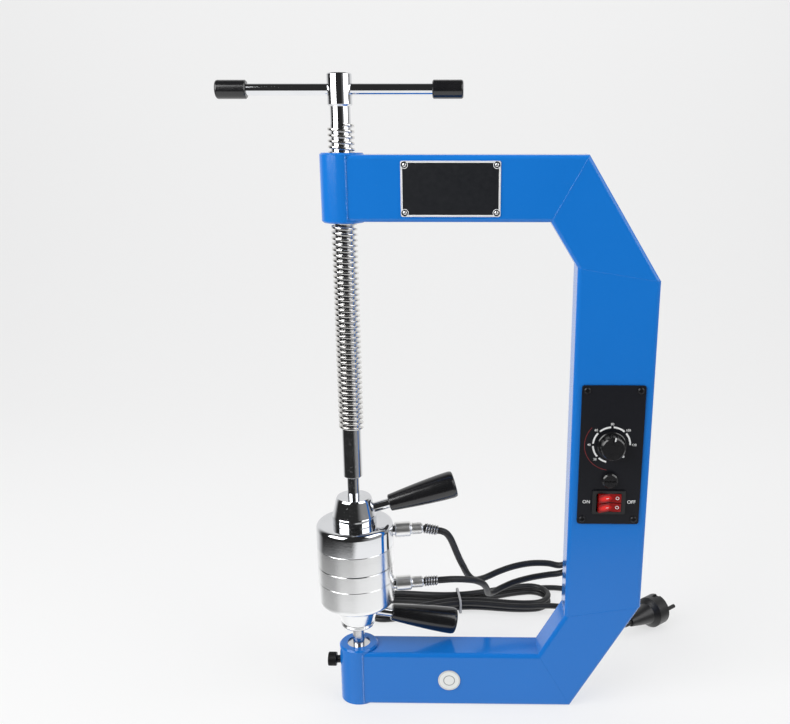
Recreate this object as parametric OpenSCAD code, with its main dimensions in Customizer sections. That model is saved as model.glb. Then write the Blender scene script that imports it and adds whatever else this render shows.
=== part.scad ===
// Spot vulcanizer for tyre repair: a C-shaped welded frame, a hand screw that presses an upper
// heated head onto a lower one, and a timer panel on the column. Millimetres, +Z up.
// The origin is where the press axis meets the bench.

/* [Frame] */
// Distance from the press axis to the middle of the column
reach = 250; // [230:1:290]
// Height of the frame over the bench
frame_h = 555; // [500:1:640]
// Depth of every box section, front to back
frame_d = 38; // [36:0.5:42]
// Height of the upper arm and width of the brace below it
arm_h = 58; // [54:1:64]
// Height of the lower arm and width of the brace above it
base_h = 60; // [54:1:64]
// Width of the column
column_w = 76; // [70:1:90]
// Thickness of the folded steel plate
plate_t = 3; // [2:0.5:3.5]
// Outside radius of the folded edges
edge_r = 4; // [3.8:0.1:6]
// Distance from the press axis to the outer corner on top
top_corner_x = 219; // [205:1:230]
// Distance from the press axis to the outer corner on the bench
base_corner_x = 221; // [205:1:230]
// Slope of the upper brace from level, in degrees
upper_brace_angle = 58; // [52:1:64]
// Slope of the lower brace from level, in degrees
lower_brace_angle = 60; // [54:1:66]

/* [Bosses] */
// Outside diameter of both bosses
boss_d = 40; // [38:0.5:44]
// How far the upper boss stands out of its arm at each end
boss_proud = 1.5; // [0.5:0.5:4]
// How far the lower boss stands over its arm
socket_proud = 3; // [1:0.5:6]
// Diameter of the steel bush in the lower boss
bush_d = 24; // [20:0.5:28]
// How far the bush lies below the rim of its boss
bush_recess = 1.5; // [0.5:0.5:3]
// Thickness of steel left under the lower post
bush_floor = 18; // [8:1:28]
// Height of the clamp screw over the bench
clamp_z = 42; // [30:1:48]
// Thread diameter of the clamp screw
clamp_d = 8; // [6:1:10]
// Length of clamp screw that shows between its head and the boss
clamp_show = 4; // [2:0.5:10]

/* [Press screw] */
// Outside diameter of the screw thread
screw_d = 24; // [22:0.5:26]
// Diameter of the plain shank, at the root of the thread
shank_d = 18.5; // [17:0.5:20]
// Length of the plain shank
shank_l = 50; // [30:1:70]
// Height of the end of the thread over the frame, with the heads closed
thread_over = 26.2; // [22:0.2:50]
// Length of the neck over the thread
neck_l = 15; // [8:1:30]
// Diameter of the neck
neck_d = 18; // [16:0.5:19]
// Diameter of the hub that holds the cross bar
hub_d = 22; // [20:0.5:26]
// Height of the hub
hub_h = 27; // [22:1:34]
// Diameter of the cross bar
bar_d = 10; // [8:0.5:12]
// Length of the cross bar over its caps
bar_l = 217; // [180:1:260]
// Diameter of the bar's end caps
cap_d = 16; // [14:0.5:20]
// Length of the bar's end caps
cap_l = 27; // [20:1:35]

/* [Heads] */
// Height of the parting line between the heads over the bench
parting_z = 156; // [146:1:170]
// Gap between the two heated plates at rest
plate_gap = 0.4; // [0.3:0.1:1]
// Diameter of both heads
head_d = 77; // [70:0.5:84]
// Thickness of the upper heated plate
upper_plate_t = 20; // [16:0.5:24]
// Thickness of the lower heated plate
lower_plate_t = 17; // [16:0.5:24]
// Height of the upper cover
upper_cover_h = 24; // [22:0.5:30]
// Height of the lower cover
lower_cover_h = 27; // [22:0.5:30]
// Wall of both covers
cover_wall = 3; // [2:0.5:4]
// Thickness of the closed end of both covers
cover_end_t = 5; // [4:0.5:7]
// Radius of the rounded rim of both covers
cover_rim_r = 5.5; // [3:0.5:7]
// Diameter of the foot of the cone
cone_foot_d = 44; // [40:0.5:50]
// Height of the straight foot of the cone
cone_foot_h = 8; // [6:0.5:10]
// Diameter of the small end of the cone
cone_tip_d = 35; // [33:0.5:40]
// Height of the whole cone
cone_h = 27; // [26:0.5:34]
// Diameter of the pivot stubs in the cones
stub_d = 12; // [11:0.5:14]
// Direction of the handles and leads, counted from +X towards +Y, in degrees
head_turn = 10; // [0:1:12]

/* [Handles] */
// Slope of the handles away from the plates, in degrees
handle_slope = 14; // [10:1:16]
// Diameter of the handle rods
rod_d = 10; // [8:0.5:11]
// Distance from the press axis to the small end of the grip, along the rod
grip_from = 36; // [34:1:44]
// Length of the grip
grip_l = 69; // [55:1:72]
// Diameter of the grip at its small end
grip_small_d = 17; // [15:0.5:19]
// Diameter of the grip at its large end
grip_large_d = 27.4; // [24:0.2:29]

/* [Lead connectors] */
// Height of the connectors over the closed end of the plate
connector_rise = 11.5; // [10.5:0.5:13]
// Diameter of the connector barrel
barrel_d = 15.6; // [13:0.2:16]
// Length of the connector barrel
barrel_l = 16.5; // [12:0.5:18]
// Diameter of the knurled nut behind the barrel
knurl_d = 11.5; // [10:0.5:13]
// Length of the knurled nut
knurl_l = 12; // [8:0.5:15]
// Length of the ribbed strain relief
relief_l = 15.5; // [12:0.5:18]
// Droop of the upper strain relief under its lead, in degrees
upper_droop = 15; // [0:1:20]

/* [Control panel] */
// Width of the panel
panel_w = 60; // [58:0.5:66]
// Height of the panel
panel_h = 140; // [138:1:160]
// Thickness of the panel
panel_t = 1.5; // [1:0.5:3]
// Height of the middle of the panel over the bench
panel_z = 278; // [250:1:300]
// Distance of the screws from the panel's edges
panel_screw_in = 5; // [4:0.5:5.5]
// Height of the timer over the middle of the panel
timer_up = 11.5; // [8:0.5:14]
// Drop of the fuse holder below the middle of the panel
fuse_down = 24; // [23:0.5:26]
// Drop of the switch below the middle of the panel
switch_down = 47; // [46:0.5:49]
// Diameter of the timer knob
knob_d = 27.5; // [24:0.5:32]
// Height of the timer knob over the panel
knob_h = 14; // [10:0.5:20]
// Diameter of the fuse cap
fuse_cap_d = 15; // [13:0.5:17]
// Width of the switch bezel
switch_w = 32; // [30:0.5:34]
// Height of the switch bezel
switch_h = 24; // [22:0.5:26]
// Length of a rocker
rocker_l = 22; // [20:0.5:24]
// Height of a rocker
rocker_h = 8.6; // [7:0.1:9]
// Tilt of a rocker from its middle, in degrees
rocker_tilt = 7; // [4:0.5:9]

/* [Plates on the frame] */
// Width of the name plate
name_plate_w = 88; // [70:1:100]
// Height of the name plate
name_plate_h = 48; // [36:1:48]
// Distance from the press axis to the middle of the name plate
name_plate_x = 97.5; // [80:0.5:110]
// Thickness of the name plate and of the round badge
sign_t = 0.8; // [0.5:0.1:1.5]
// Diameter of the round badge
badge_d = 23; // [16:0.5:30]
// Distance from the press axis to the middle of the badge
badge_x = 95; // [60:1:140]

/* [Cords] */
// Diameter of the head leads and of the mains cord
cord_d = 7; // [6:0.1:7.2]
// Diameter of the mains plug
mains_plug_d = 37; // [34:0.5:40]
// Length of the mains plug's round body
mains_plug_l = 22; // [18:1:26]
// Length of the mains plug's tapered neck
mains_neck_l = 30; // [24:1:34]

/* [Hidden] */
$fn = 64;

// Clearances
run = 0.05;
seat = 0.02;
play = 0.1;
soft_gap = 0.5;

// Colours
blue = [0.10, 0.42, 0.78];
steel = [0.74, 0.75, 0.77];
chrome = [0.86, 0.87, 0.89];
aluminium = [0.80, 0.81, 0.83];
dark_steel = [0.30, 0.31, 0.33];
black = [0.07, 0.07, 0.08];
red = [0.80, 0.10, 0.08];
brass = [0.78, 0.62, 0.30];
white = [0.92, 0.92, 0.90];
mica = [0.55, 0.47, 0.36];

// Frame outline, as points [x, z] of its corners
column_out = reach + column_w / 2;
column_in = reach - column_w / 2;
front_y = -frame_d / 2;
back_y = frame_d / 2;
arm_z = frame_h - arm_h;
top_out = [top_corner_x, frame_h];
top_in = [top_corner_x - arm_h * tan(upper_brace_angle / 2), arm_z];
high_out = [column_out, frame_h - (column_out - top_out.x) * tan(upper_brace_angle)];
high_in = [column_in, arm_z - (column_in - top_in.x) * tan(upper_brace_angle)];
base_out = [base_corner_x, 0];
base_in = [base_corner_x - base_h * tan(lower_brace_angle / 2), base_h];
low_out = [column_out, (column_out - base_out.x) * tan(lower_brace_angle)];
low_in = [column_in, base_h + (column_in - base_in.x) * tan(lower_brace_angle)];
mitre_reach = 2;

// Heights along the press axis
upper_end = upper_plate_t + upper_cover_h;
lower_end = lower_plate_t + lower_cover_h;
upper_face = parting_z + plate_gap / 2;
lower_face = parting_z - plate_gap / 2;
washer_t = 1.6;
bore_floor = 3.4;
stub_end = bore_floor + washer_t + 2 * play;
collar_t = 1.4;
groove_w = 6.4;
groove_from = stub_end + collar_t;
groove_to = groove_from + groove_w;
groove_d = stub_d - 3.4;
rod_cross = (groove_from + groove_to) / 2 - 1.3;
stub_show = 21;
shank_z = upper_face + upper_end + cone_h + stub_show;
thread_z = shank_z + shank_l;
neck_z = frame_h + thread_over;
thread_l = neck_z - thread_z;
hub_z = neck_z + neck_l;
bar_z = hub_z + hub_h / 2;

// Places on the panel
panel_y = front_y - panel_t;
timer_z = panel_z + timer_up;
fuse_z = panel_z - fuse_down;
switch_z = panel_z - switch_down;
panel_screw_x = panel_w / 2 - panel_screw_in;
panel_screw_z = panel_h / 2 - panel_screw_in;
panel_screw_d = 4;
window_w = panel_w - 4 * panel_screw_in + 2;
window_h = panel_h - 4 * panel_screw_in;

// Outlines and small helpers

module rounded_rect(w, h, r) {
    square([w - 2 * r, h], center = true);
    square([w, h - 2 * r], center = true);
    for (x = [-1, 1], y = [-1, 1])
        translate([x * (w / 2 - r), y * (h / 2 - r)]) circle(r);
}

module box_section(w, l) {
    rotate([90, 0, 90]) linear_extrude(l) difference() {
        rounded_rect(frame_d, w, edge_r);
        rounded_rect(frame_d - 2 * plate_t, w - 2 * plate_t, edge_r - plate_t);
    }
}

function beyond(from, to) = to + (to - from) * mitre_reach;

// Prism between two mitre lines, each given by its inner and outer corner
module between_mitres(a_in, a_out, b_in, b_out) {
    rotate([90, 0, 0]) linear_extrude(2 * frame_d, center = true)
        polygon([beyond(a_out, a_in), beyond(a_in, a_out), beyond(b_in, b_out), beyond(b_out, b_in)]);
}

module bar_along_x(d, x0, x1) {
    translate([x0, 0, 0]) rotate([0, 90, 0]) cylinder(d = d, h = x1 - x0);
}

module bar_along_y(d, y0, y1) {
    translate([0, y0, 0]) rotate([-90, 0, 0]) cylinder(d = d, h = y1 - y0);
}

// Round bar with a chamfer at both ends
module chamfered_bar(d, h, c) {
    rotate_extrude()
        polygon([[0, 0], [d / 2 - c, 0], [d / 2, c], [d / 2, h - c], [d / 2 - c, h], [0, h]]);
}

// Frame

module upper_arm() {
    color(blue) difference() {
        intersection() {
            translate([0, 0, arm_z + arm_h / 2]) box_section(arm_h, top_out.x + arm_h);
            between_mitres([0, arm_z], [0, frame_h], top_in, top_out);
        }
        translate([0, 0, arm_z - boss_proud]) cylinder(d = boss_d, h = arm_h + 2 * boss_proud);
        at_name_plate_rivets() bar_along_y(rivet_d, front_y - 1, front_y + plate_t + 1);
    }
}

module upper_brace() {
    middle = (top_in + top_out) / 2;
    span = column_out / cos(upper_brace_angle);
    color(blue) intersection() {
        translate([middle.x, 0, middle.y]) rotate([0, upper_brace_angle, 0])
            translate([-arm_h, 0, 0]) box_section(arm_h, span);
        between_mitres(top_in, top_out, high_in, high_out);
    }
}

module column() {
    color(blue) difference() {
        intersection() {
            translate([reach, 0, 0]) rotate([0, -90, 0]) box_section(column_w, frame_h);
            between_mitres(high_in, high_out, low_in, low_out);
        }
        translate([reach, front_y, panel_z]) cube([window_w, 3 * plate_t, window_h], center = true);
        at_panel_screws() bar_along_y(panel_screw_d, front_y - 1, front_y + plate_t + 1);
        at_lead_glands() bar_along_y(gland_thread_d + 2 * run, back_y - plate_t - 1, back_y + 1);
        at_mains_gland() bar_along_y(gland_thread_d + 2 * run, back_y - plate_t - 1, back_y + 1);
    }
}

module lower_brace() {
    middle = (base_in + base_out) / 2;
    span = column_out / cos(lower_brace_angle);
    color(blue) intersection() {
        translate([middle.x, 0, middle.y]) rotate([0, -lower_brace_angle, 0])
            translate([-base_h, 0, 0]) box_section(base_h, span);
        between_mitres(low_in, low_out, base_in, base_out);
    }
}

module lower_arm() {
    color(blue) difference() {
        intersection() {
            translate([0, 0, base_h / 2]) box_section(base_h, base_out.x + base_h);
            between_mitres(base_in, base_out, [0, base_h], [0, 0]);
        }
        translate([0, 0, -1]) cylinder(d = boss_d, h = base_h + socket_proud + 1);
    }
}

// Round boss at the end of the upper arm, tapped for the press screw
module nut_boss() {
    boss_chamfer = 1.5;
    h = arm_h + 2 * boss_proud;
    bore = screw_d / 2 + run;
    color(blue) translate([0, 0, arm_z - boss_proud]) rotate_extrude()
        polygon([
            [bore, 0], [boss_d / 2 - boss_chamfer, 0], [boss_d / 2, boss_chamfer],
            [boss_d / 2, h - boss_chamfer], [boss_d / 2 - boss_chamfer, h], [bore, h]
        ]);
}

module socket_boss() {
    boss_chamfer = 1.5;
    h = base_h + socket_proud;
    color(blue) difference() {
        rotate_extrude()
            polygon([
                [bush_d / 2, 0], [boss_d / 2, 0], [boss_d / 2, h - boss_chamfer],
                [boss_d / 2 - boss_chamfer, h], [bush_d / 2, h]
            ]);
        translate([0, 0, clamp_z]) bar_along_x(clamp_d + 2 * run, -boss_d, 0);
    }
}

// Steel bush with a blind bore for the lower post
module socket_bush() {
    h = base_h + socket_proud - bush_recess;
    color(steel) difference() {
        cylinder(d = bush_d - 2 * seat, h = h);
        translate([0, 0, bush_floor]) cylinder(d = stub_d + 2 * run, h = h);
        translate([0, 0, clamp_z]) bar_along_x(clamp_d + 2 * run, -boss_d, 0);
    }
}

// Stub of a press pivot, from its grooved end at the height zero upwards
module grooved_stub(l) {
    c = 0.6;
    rotate_extrude() polygon([
        [0, 0], [stub_d / 2 - c, 0], [stub_d / 2, c],
        [stub_d / 2, groove_from - stub_end], [groove_d / 2, groove_from - stub_end],
        [groove_d / 2, groove_to - stub_end], [stub_d / 2, groove_to - stub_end],
        [stub_d / 2, l], [0, l]
    ]);
}

module lower_post() {
    top = lower_face - lower_end - stub_end;
    color(steel) translate([0, 0, top]) mirror([0, 0, 1]) grooved_stub(top - bush_floor);
}

module washer_disc() {
    cylinder(d = stub_d - 2 * play, h = washer_t);
}

module lower_thrust_washer() {
    color(brass) translate([0, 0, lower_face - lower_end - bore_floor - play])
        mirror([0, 0, 1]) washer_disc();
}

module clamp_screw() {
    head_h = clamp_d + 0.5;
    head_d = 1.75 * clamp_d;
    key_w = 0.75 * clamp_d;
    shank_x = -boss_d / 2 - clamp_show;
    color(black) translate([0, 0, clamp_z]) difference() {
        union() {
            bar_along_x(head_d, shank_x - head_h, shank_x);
            bar_along_x(clamp_d, shank_x - 1, -stub_d / 2 - play);
        }
        translate([shank_x - head_h - 1, 0, 0]) rotate([0, 90, 0])
            cylinder(d = key_w / cos(30), h = head_h / 2 + 1, $fn = 6);
    }
}

// Name plate and badge

rivet_d = 2.6;
rivet_in = 3.5;

module at_name_plate_rivets() {
    for (x = [-1, 1], z = [-1, 1])
        translate([name_plate_x + x * (name_plate_w / 2 - rivet_in), 0,
                   arm_z + arm_h / 2 + z * (name_plate_h / 2 - rivet_in)]) children();
}

module name_plate() {
    color(black) difference() {
        translate([name_plate_x, front_y, arm_z + arm_h / 2]) rotate([90, 0, 0])
            linear_extrude(sign_t) rounded_rect(name_plate_w, name_plate_h, 1.5);
        at_name_plate_rivets() bar_along_y(rivet_d, front_y - sign_t - 1, front_y + 1);
    }
}

module name_plate_rivets() {
    head_t = 0.9;
    color(steel) at_name_plate_rivets() {
        bar_along_y(rivet_d - 2 * seat, front_y - sign_t - head_t / 2, front_y + plate_t);
        translate([0, front_y - sign_t, 0]) rotate([90, 0, 0])
            cylinder(d1 = 1.8 * rivet_d, d2 = rivet_d, h = head_t);
    }
}

module round_badge() {
    color(white) translate([badge_x, 0, base_h / 2])
        bar_along_y(badge_d, front_y - sign_t, front_y);
}

// Control panel

module at_panel_screws() {
    for (x = [-1, 1], z = [-1, 1])
        translate([reach + x * panel_screw_x, 0, panel_z + z * panel_screw_z]) children();
}

timer_bush_d = 9;
fuse_thread_d = 12;
switch_body_w = switch_w - 3;
switch_body_h = switch_h - 2.4;

module control_panel() {
    color(black) difference() {
        translate([reach, front_y, panel_z]) rotate([90, 0, 0])
            linear_extrude(panel_t) rounded_rect(panel_w, panel_h, 2.5);
        at_panel_screws() bar_along_y(panel_screw_d + 2 * seat, panel_y - 1, front_y + 1);
        translate([reach, 0, timer_z]) bar_along_y(timer_bush_d + 2 * run, panel_y - 1, front_y + 1);
        translate([reach, 0, fuse_z]) bar_along_y(fuse_thread_d + 2 * run, panel_y - 1, front_y + 1);
        translate([reach, front_y, switch_z])
            cube([switch_body_w + 2 * run, 4 * panel_t, switch_body_h + 2 * run], center = true);
    }
}

module panel_screws() {
    head_d = 1.8 * panel_screw_d;
    head_t = 2;
    slot_w = 1;
    color(steel) at_panel_screws() difference() {
        union() {
            bar_along_y(panel_screw_d - 2 * seat, panel_y - 0.5, front_y + plate_t + 2);
            translate([0, panel_y, 0]) rotate([90, 0, 0])
                cylinder(d1 = head_d, d2 = 0.8 * head_d, h = head_t);
        }
        for (turn = [0, 90]) translate([0, panel_y - head_t, 0]) rotate([0, turn, 0])
            cube([0.6 * head_d, head_t, slot_w], center = true);
    }
}

// Thermostatic timer behind the panel, with its threaded bush through the panel
timer_body_w = 36;
timer_body_h = 34;
timer_body_d = 20;
timer_shaft_d = 6;
knob_gap = 1;

module timer_body() {
    color(white) translate([reach, 0, timer_z]) difference() {
        union() {
            translate([-timer_body_w / 2, front_y, -timer_body_h / 2])
                cube([timer_body_w, timer_body_d, timer_body_h]);
            bar_along_y(timer_bush_d, panel_y - 0.5, front_y + 1);
        }
        bar_along_y(timer_shaft_d + 2 * run, panel_y - 2, front_y + timer_body_d / 2);
    }
}

module timer_shaft() {
    color(steel) translate([reach, 0, timer_z])
        bar_along_y(timer_shaft_d, panel_y - 0.7 * knob_h, front_y + timer_body_d / 2 - 1);
}

// Knob with a skirt, twelve shallow finger flutes and a pointer notch in its rim
module timer_knob() {
    skirt_h = 3;
    grip_d = knob_d - 3;
    flutes = 12;
    flute_d = 3;
    notch_w = 1.6;
    color(black) translate([reach, panel_y - knob_gap, timer_z]) rotate([90, 0, 0]) difference() {
        rotate_extrude() polygon([
            [0, 0], [knob_d / 2, 0], [knob_d / 2, skirt_h - 0.8], [knob_d / 2 - 0.8, skirt_h],
            [grip_d / 2, skirt_h], [grip_d / 2 - 0.8, knob_h - knob_gap - 1.2],
            [grip_d / 2 - 2, knob_h - knob_gap], [0, knob_h - knob_gap]
        ]);
        translate([0, 0, -1])
            cylinder(d = timer_shaft_d + 2 * seat, h = 0.7 * knob_h - knob_gap + 1 + seat);
        for (i = [0:flutes - 1]) rotate(360 / flutes * (i + 0.5)) translate([grip_d / 2 + 0.6, 0, skirt_h])
            cylinder(d = flute_d, h = knob_h);
        translate([0, grip_d / 2 - 2.5, knob_h - knob_gap]) cube([notch_w, 5, 2], center = true);
    }
}

module fuse_holder() {
    body_l = 24;
    nut_t = 3;
    color(black) translate([reach, 0, fuse_z]) union() {
        bar_along_y(fuse_thread_d, panel_y - 1.5, front_y + body_l);
        translate([0, front_y, 0]) rotate([-90, 0, 0])
            cylinder(d = 1.5 * fuse_thread_d, h = nut_t, $fn = 6);
    }
}

module fuse_cap() {
    cap_h = 5;
    slot_w = 1.4;
    color(black) translate([reach, panel_y, fuse_z]) rotate([90, 0, 0]) difference() {
        rotate_extrude() polygon([
            [0, 1.5 + seat], [fuse_thread_d / 2 + seat, 1.5 + seat], [fuse_thread_d / 2 + seat, 0],
            [fuse_cap_d / 2, 0], [fuse_cap_d / 2, cap_h - 1.2], [fuse_cap_d / 2 - 1.2, cap_h], [0, cap_h]
        ]);
        translate([0, 0, cap_h]) cube([0.7 * fuse_cap_d, slot_w, 2], center = true);
    }
}

// Twin rocker switch: one housing, one pin and two rockers that tip about it
bezel_t = 2;
switch_depth = 16;
rocker_pitch = rocker_h + 1;
rocker_clear = 0.4;
rocker_rise = 2.2;
pin_d = 2;
pin_y = front_y + 1;
rocker_tip_y = panel_y - bezel_t - pin_y;
// Half the length that a rocker's tips sweep
rocker_sweep = rocker_l / 2 * cos(rocker_tilt) + (rocker_rise - rocker_tip_y) * sin(rocker_tilt);

module at_rockers() {
    for (z = [-1, 1]) translate([reach, 0, switch_z + z * rocker_pitch / 2]) children();
}

module switch_housing() {
    well_d = switch_depth - 4;
    well_w = 2 * (rocker_sweep + rocker_clear);
    well_h = rocker_h + 2 * rocker_clear;
    pin_l = 2 * rocker_pitch + 2;
    color(black) difference() {
        union() {
            translate([reach, panel_y, switch_z]) rotate([90, 0, 0])
                linear_extrude(bezel_t) rounded_rect(switch_w, switch_h, 1.5);
            translate([reach - switch_body_w / 2, panel_y - 0.5, switch_z - switch_body_h / 2])
                cube([switch_body_w, switch_depth, switch_body_h]);
        }
        at_rockers() translate([-well_w / 2, panel_y - bezel_t - 1, -well_h / 2])
            cube([well_w, well_d, well_h]);
        translate([reach, pin_y, switch_z - pin_l / 2]) cylinder(d = pin_d + 2 * run, h = pin_l);
    }
}

module switch_pin() {
    pin_l = 2 * rocker_pitch + 1.6;
    color(steel) translate([reach, pin_y, switch_z - pin_l / 2]) cylinder(d = pin_d, h = pin_l);
}

// One rocker, drawn in its middle position about its pin and then tipped to off
module rocker(z_side) {
    rise = rocker_rise;
    tip_y = rocker_tip_y;
    color(red) translate([reach, pin_y, switch_z + z_side * rocker_pitch / 2]) rotate(rocker_tilt)
        linear_extrude(rocker_h, center = true) difference() {
            union() {
                polygon([
                    [-rocker_l / 2, tip_y + 2.5], [-rocker_l / 2, tip_y - rise],
                    [-rocker_l / 2 + 2, tip_y - rise], [0, tip_y + 0.4], [rocker_l / 2 - 2, tip_y - rise],
                    [rocker_l / 2, tip_y - rise],
                    [rocker_l / 2, tip_y + 2.5], [pin_d, 0], [-pin_d, 0]
                ]);
                circle(pin_d);
            }
            circle(pin_d / 2 + run);
        }
}

module rocker_upper() {
    rocker(1);
}

module rocker_lower() {
    rocker(-1);
}

module terminal_block() {
    w = 44;
    h = 16;
    d = 12;
    ways = 5;
    over_glands = 36;
    color(white) translate([reach - w / 2, back_y - plate_t - d, lead_gland_z + over_glands]) difference() {
        cube([w, d, h]);
        for (i = [0:ways - 1]) translate([w / ways * (i + 0.5), 3, h / 2])
            rotate([90, 0, 0]) cylinder(d = 4, h = 6);
    }
}

// Cable glands on the back of the column

gland_thread_d = 12;
gland_seam_z = (low_in.y + low_out.y) / 2;
lead_gland_up = 31.8;
lead_gland_pitch = 24;
mains_gland_up = 11.8;
lead_gland_z = gland_seam_z + lead_gland_up;
lead_gland_x = [reach - lead_gland_pitch / 2, reach + lead_gland_pitch / 2];
mains_gland_z = gland_seam_z + mains_gland_up;
gland_hex_t = 5;
gland_nose_l = 18;
mains_relief_l = 30;

module at_lead_glands() {
    for (x = lead_gland_x) translate([x, 0, lead_gland_z]) children();
}

module at_mains_gland() {
    translate([reach, 0, mains_gland_z]) children();
}

module gland(nose_l) {
    nut_t = 3;
    color(black) {
        bar_along_y(gland_thread_d, back_y - plate_t - nut_t - 1, back_y + gland_hex_t);
        translate([0, back_y - plate_t - nut_t, 0]) rotate([-90, 0, 0])
            cylinder(d = 1.4 * gland_thread_d, h = nut_t, $fn = 6);
        translate([0, back_y, 0]) rotate([-90, 0, 0])
            cylinder(d = 1.4 * gland_thread_d, h = gland_hex_t, $fn = 6);
        translate([0, back_y + gland_hex_t, 0]) rotate([-90, 0, 0])
            cylinder(d1 = gland_thread_d, d2 = cord_d + 2, h = nose_l);
    }
}

module lead_glands() {
    at_lead_glands() gland(gland_nose_l);
}

module mains_gland() {
    at_mains_gland() gland(mains_relief_l);
}

// Press screw with its hub, and the bar that slides in it

module press_screw() {
    c = 2;
    stub_top = shank_z;
    stub_z = upper_face + upper_end + stub_end;
    color(steel) difference() {
        union() {
            translate([0, 0, stub_z]) grooved_stub(stub_top - stub_z + 1);
            translate([0, 0, shank_z]) rotate_extrude() polygon([
                [0, 0], [shank_d / 2 - 1, 0], [shank_d / 2, 1], [shank_d / 2, shank_l],
                [screw_d / 2, shank_l + (screw_d - shank_d) / 2],
                [screw_d / 2, shank_l + thread_l - (screw_d - neck_d) / 2], [neck_d / 2, shank_l + thread_l],
                [neck_d / 2, shank_l + thread_l + neck_l], [0, shank_l + thread_l + neck_l]
            ]);
            translate([0, 0, hub_z]) chamfered_bar(hub_d, hub_h, c / 2);
        }
        translate([0, 0, bar_z]) bar_along_x(bar_d + 2 * run, -hub_d, hub_d);
    }
}

module cross_bar() {
    l = bar_l - 2 * cap_end_t;
    color(chrome) translate([0, 0, bar_z]) bar_along_x(bar_d, -l / 2, l / 2);
}

cap_end_t = 3;

module bar_caps() {
    r = 2;
    color(black) translate([0, 0, bar_z]) for (side = [0, 180]) rotate(side)
        translate([bar_l / 2 - cap_l, 0, 0]) rotate([0, 90, 0]) rotate_extrude() polygon(concat(
            [[bar_d / 2 + seat, 0], [cap_d / 2 - 1, 0], [cap_d / 2, 1]],
            [for (a = [0:15:90]) [cap_d / 2 - r + r * cos(a), cap_l - r + r * sin(a)]],
            [[0, cap_l], [0, cap_l - cap_end_t + seat], [bar_d / 2 + seat, cap_l - cap_end_t + seat]]
        ));
}

module thrust_washer() {
    color(brass) translate([0, 0, upper_face + upper_end + bore_floor + play]) washer_disc();
}

// One heated head, drawn with its pressing face at the height zero and its cone upwards

head_r = head_d / 2;
spigot_h = 3;
spigot_r = head_r - cover_wall - run;
stud_d = 8;
stud_in = 9;

module in_upper_head() {
    translate([0, 0, upper_face]) rotate(head_turn) children();
}

module in_lower_head() {
    translate([0, 0, lower_face]) mirror([0, 0, 1]) rotate(head_turn) children();
}

// Turns a piece that lies along +X onto the sloping rod of the handle
module along_handle(end) {
    translate([0, 0, end + rod_cross]) rotate([0, -handle_slope, 0]) children();
}

module head_plate(t) {
    c = 0.8;
    color(aluminium) difference() {
        rotate_extrude() polygon([
            [0, 0], [head_r - c, 0], [head_r, c], [head_r, t], [spigot_r, t],
            [spigot_r, t + spigot_h], [0, t + spigot_h]
        ]);
        translate([0, 0, t + spigot_h - stud_in]) cylinder(d = stud_d, h = stud_in + 1);
    }
}

module head_cover(t, h, tint) {
    inner_r = head_r - cover_wall;
    color(tint) difference() {
        rotate_extrude() polygon(concat(
            [[inner_r, t], [head_r, t]],
            [for (a = [0:10:90])
                [head_r - cover_rim_r + cover_rim_r * cos(a), t + h - cover_rim_r + cover_rim_r * sin(a)]],
            [[stud_d / 2 + run, t + h], [stud_d / 2 + run, t + h - cover_end_t]],
            [[inner_r, t + h - cover_end_t]]
        ));
        translate([0, 0, t + connector_rise]) bar_along_x(socket_d + 2 * seat, 0, head_d);
    }
}

module head_cone(end) {
    c = 0.8;
    color(chrome) translate([0, 0, end]) difference() {
        rotate_extrude() polygon([
            [0, 0], [cone_foot_d / 2, 0], [cone_foot_d / 2, cone_foot_h], [cone_tip_d / 2, cone_h - c],
            [cone_tip_d / 2 - c, cone_h], [0, cone_h]
        ]);
        translate([0, 0, bore_floor]) cylinder(d = stub_d + 2 * run, h = cone_h);
        translate([0, 0, -1]) cylinder(d = stud_d, h = bore_floor);
        along_handle(0) bar_along_x(rod_d + 2 * seat, 1, cone_foot_d);
    }
}

// Stud that draws the cone, the cover and the plate together
module head_stud(t, end) {
    from = t + spigot_h - stud_in + 1;
    color(steel) translate([0, 0, from]) cylinder(d = stud_d - 2 * seat, h = end + bore_floor - 1.5 - from);
}

heater_t = 6;

module head_heater(t) {
    color(mica) translate([0, 0, t + spigot_h]) rotate_extrude()
        translate([stud_d / 2 + 3, 0]) square([spigot_r - stud_d / 2 - 9, heater_t]);
}

module head_thermostat(t) {
    color(steel) translate([-head_r / 2, 0, t + spigot_h + heater_t]) {
        cylinder(d = 16, h = 3);
        translate([0, 0, 2]) cylinder(d = 12, h = 3);
    }
}

module head_handle_rod(end) {
    tip_d = 5;
    tip_clear = 0.35;
    tip = (groove_d / 2 + tip_clear + tip_d / 2 * sin(handle_slope)) / cos(handle_slope);
    color(chrome) along_handle(end) {
        bar_along_x(tip_d, tip, stub_d);
        bar_along_x(rod_d, stub_d / 2 + 3, grip_from + 0.4 * grip_l);
    }
}

module head_grip(end) {
    r = 3;
    swell = 1.4;
    a = grip_small_d / 2;
    b = grip_large_d / 2;
    color(black) along_handle(end) translate([grip_from, 0, 0]) rotate([0, 90, 0]) rotate_extrude()
        polygon(concat(
            [[rod_d / 2 + seat, 0], [a - 1, 0], [a, 1]],
            [for (s = [0.2:0.2:1]) [b - (b - a) * pow(1 - s, swell), 1 + s * (grip_l - 5 - r)]],
            [for (t = [0:15:90]) [b - r + r * cos(t), grip_l - r + r * sin(t)]],
            [[0, grip_l], [0, 0.4 * grip_l + seat], [rod_d / 2 + seat, 0.4 * grip_l + seat]]
        ));
}

// Chassis socket in the cover's wall, the plug on it and the plug's strain relief

socket_d = 11;
socket_out = head_r + 1.5;
plug_from = socket_out + seat;
knurl_from = plug_from + barrel_l;
relief_from = knurl_from + knurl_l;
relief_neck_d = 6;
relief_neck_l = 1.4;

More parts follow.
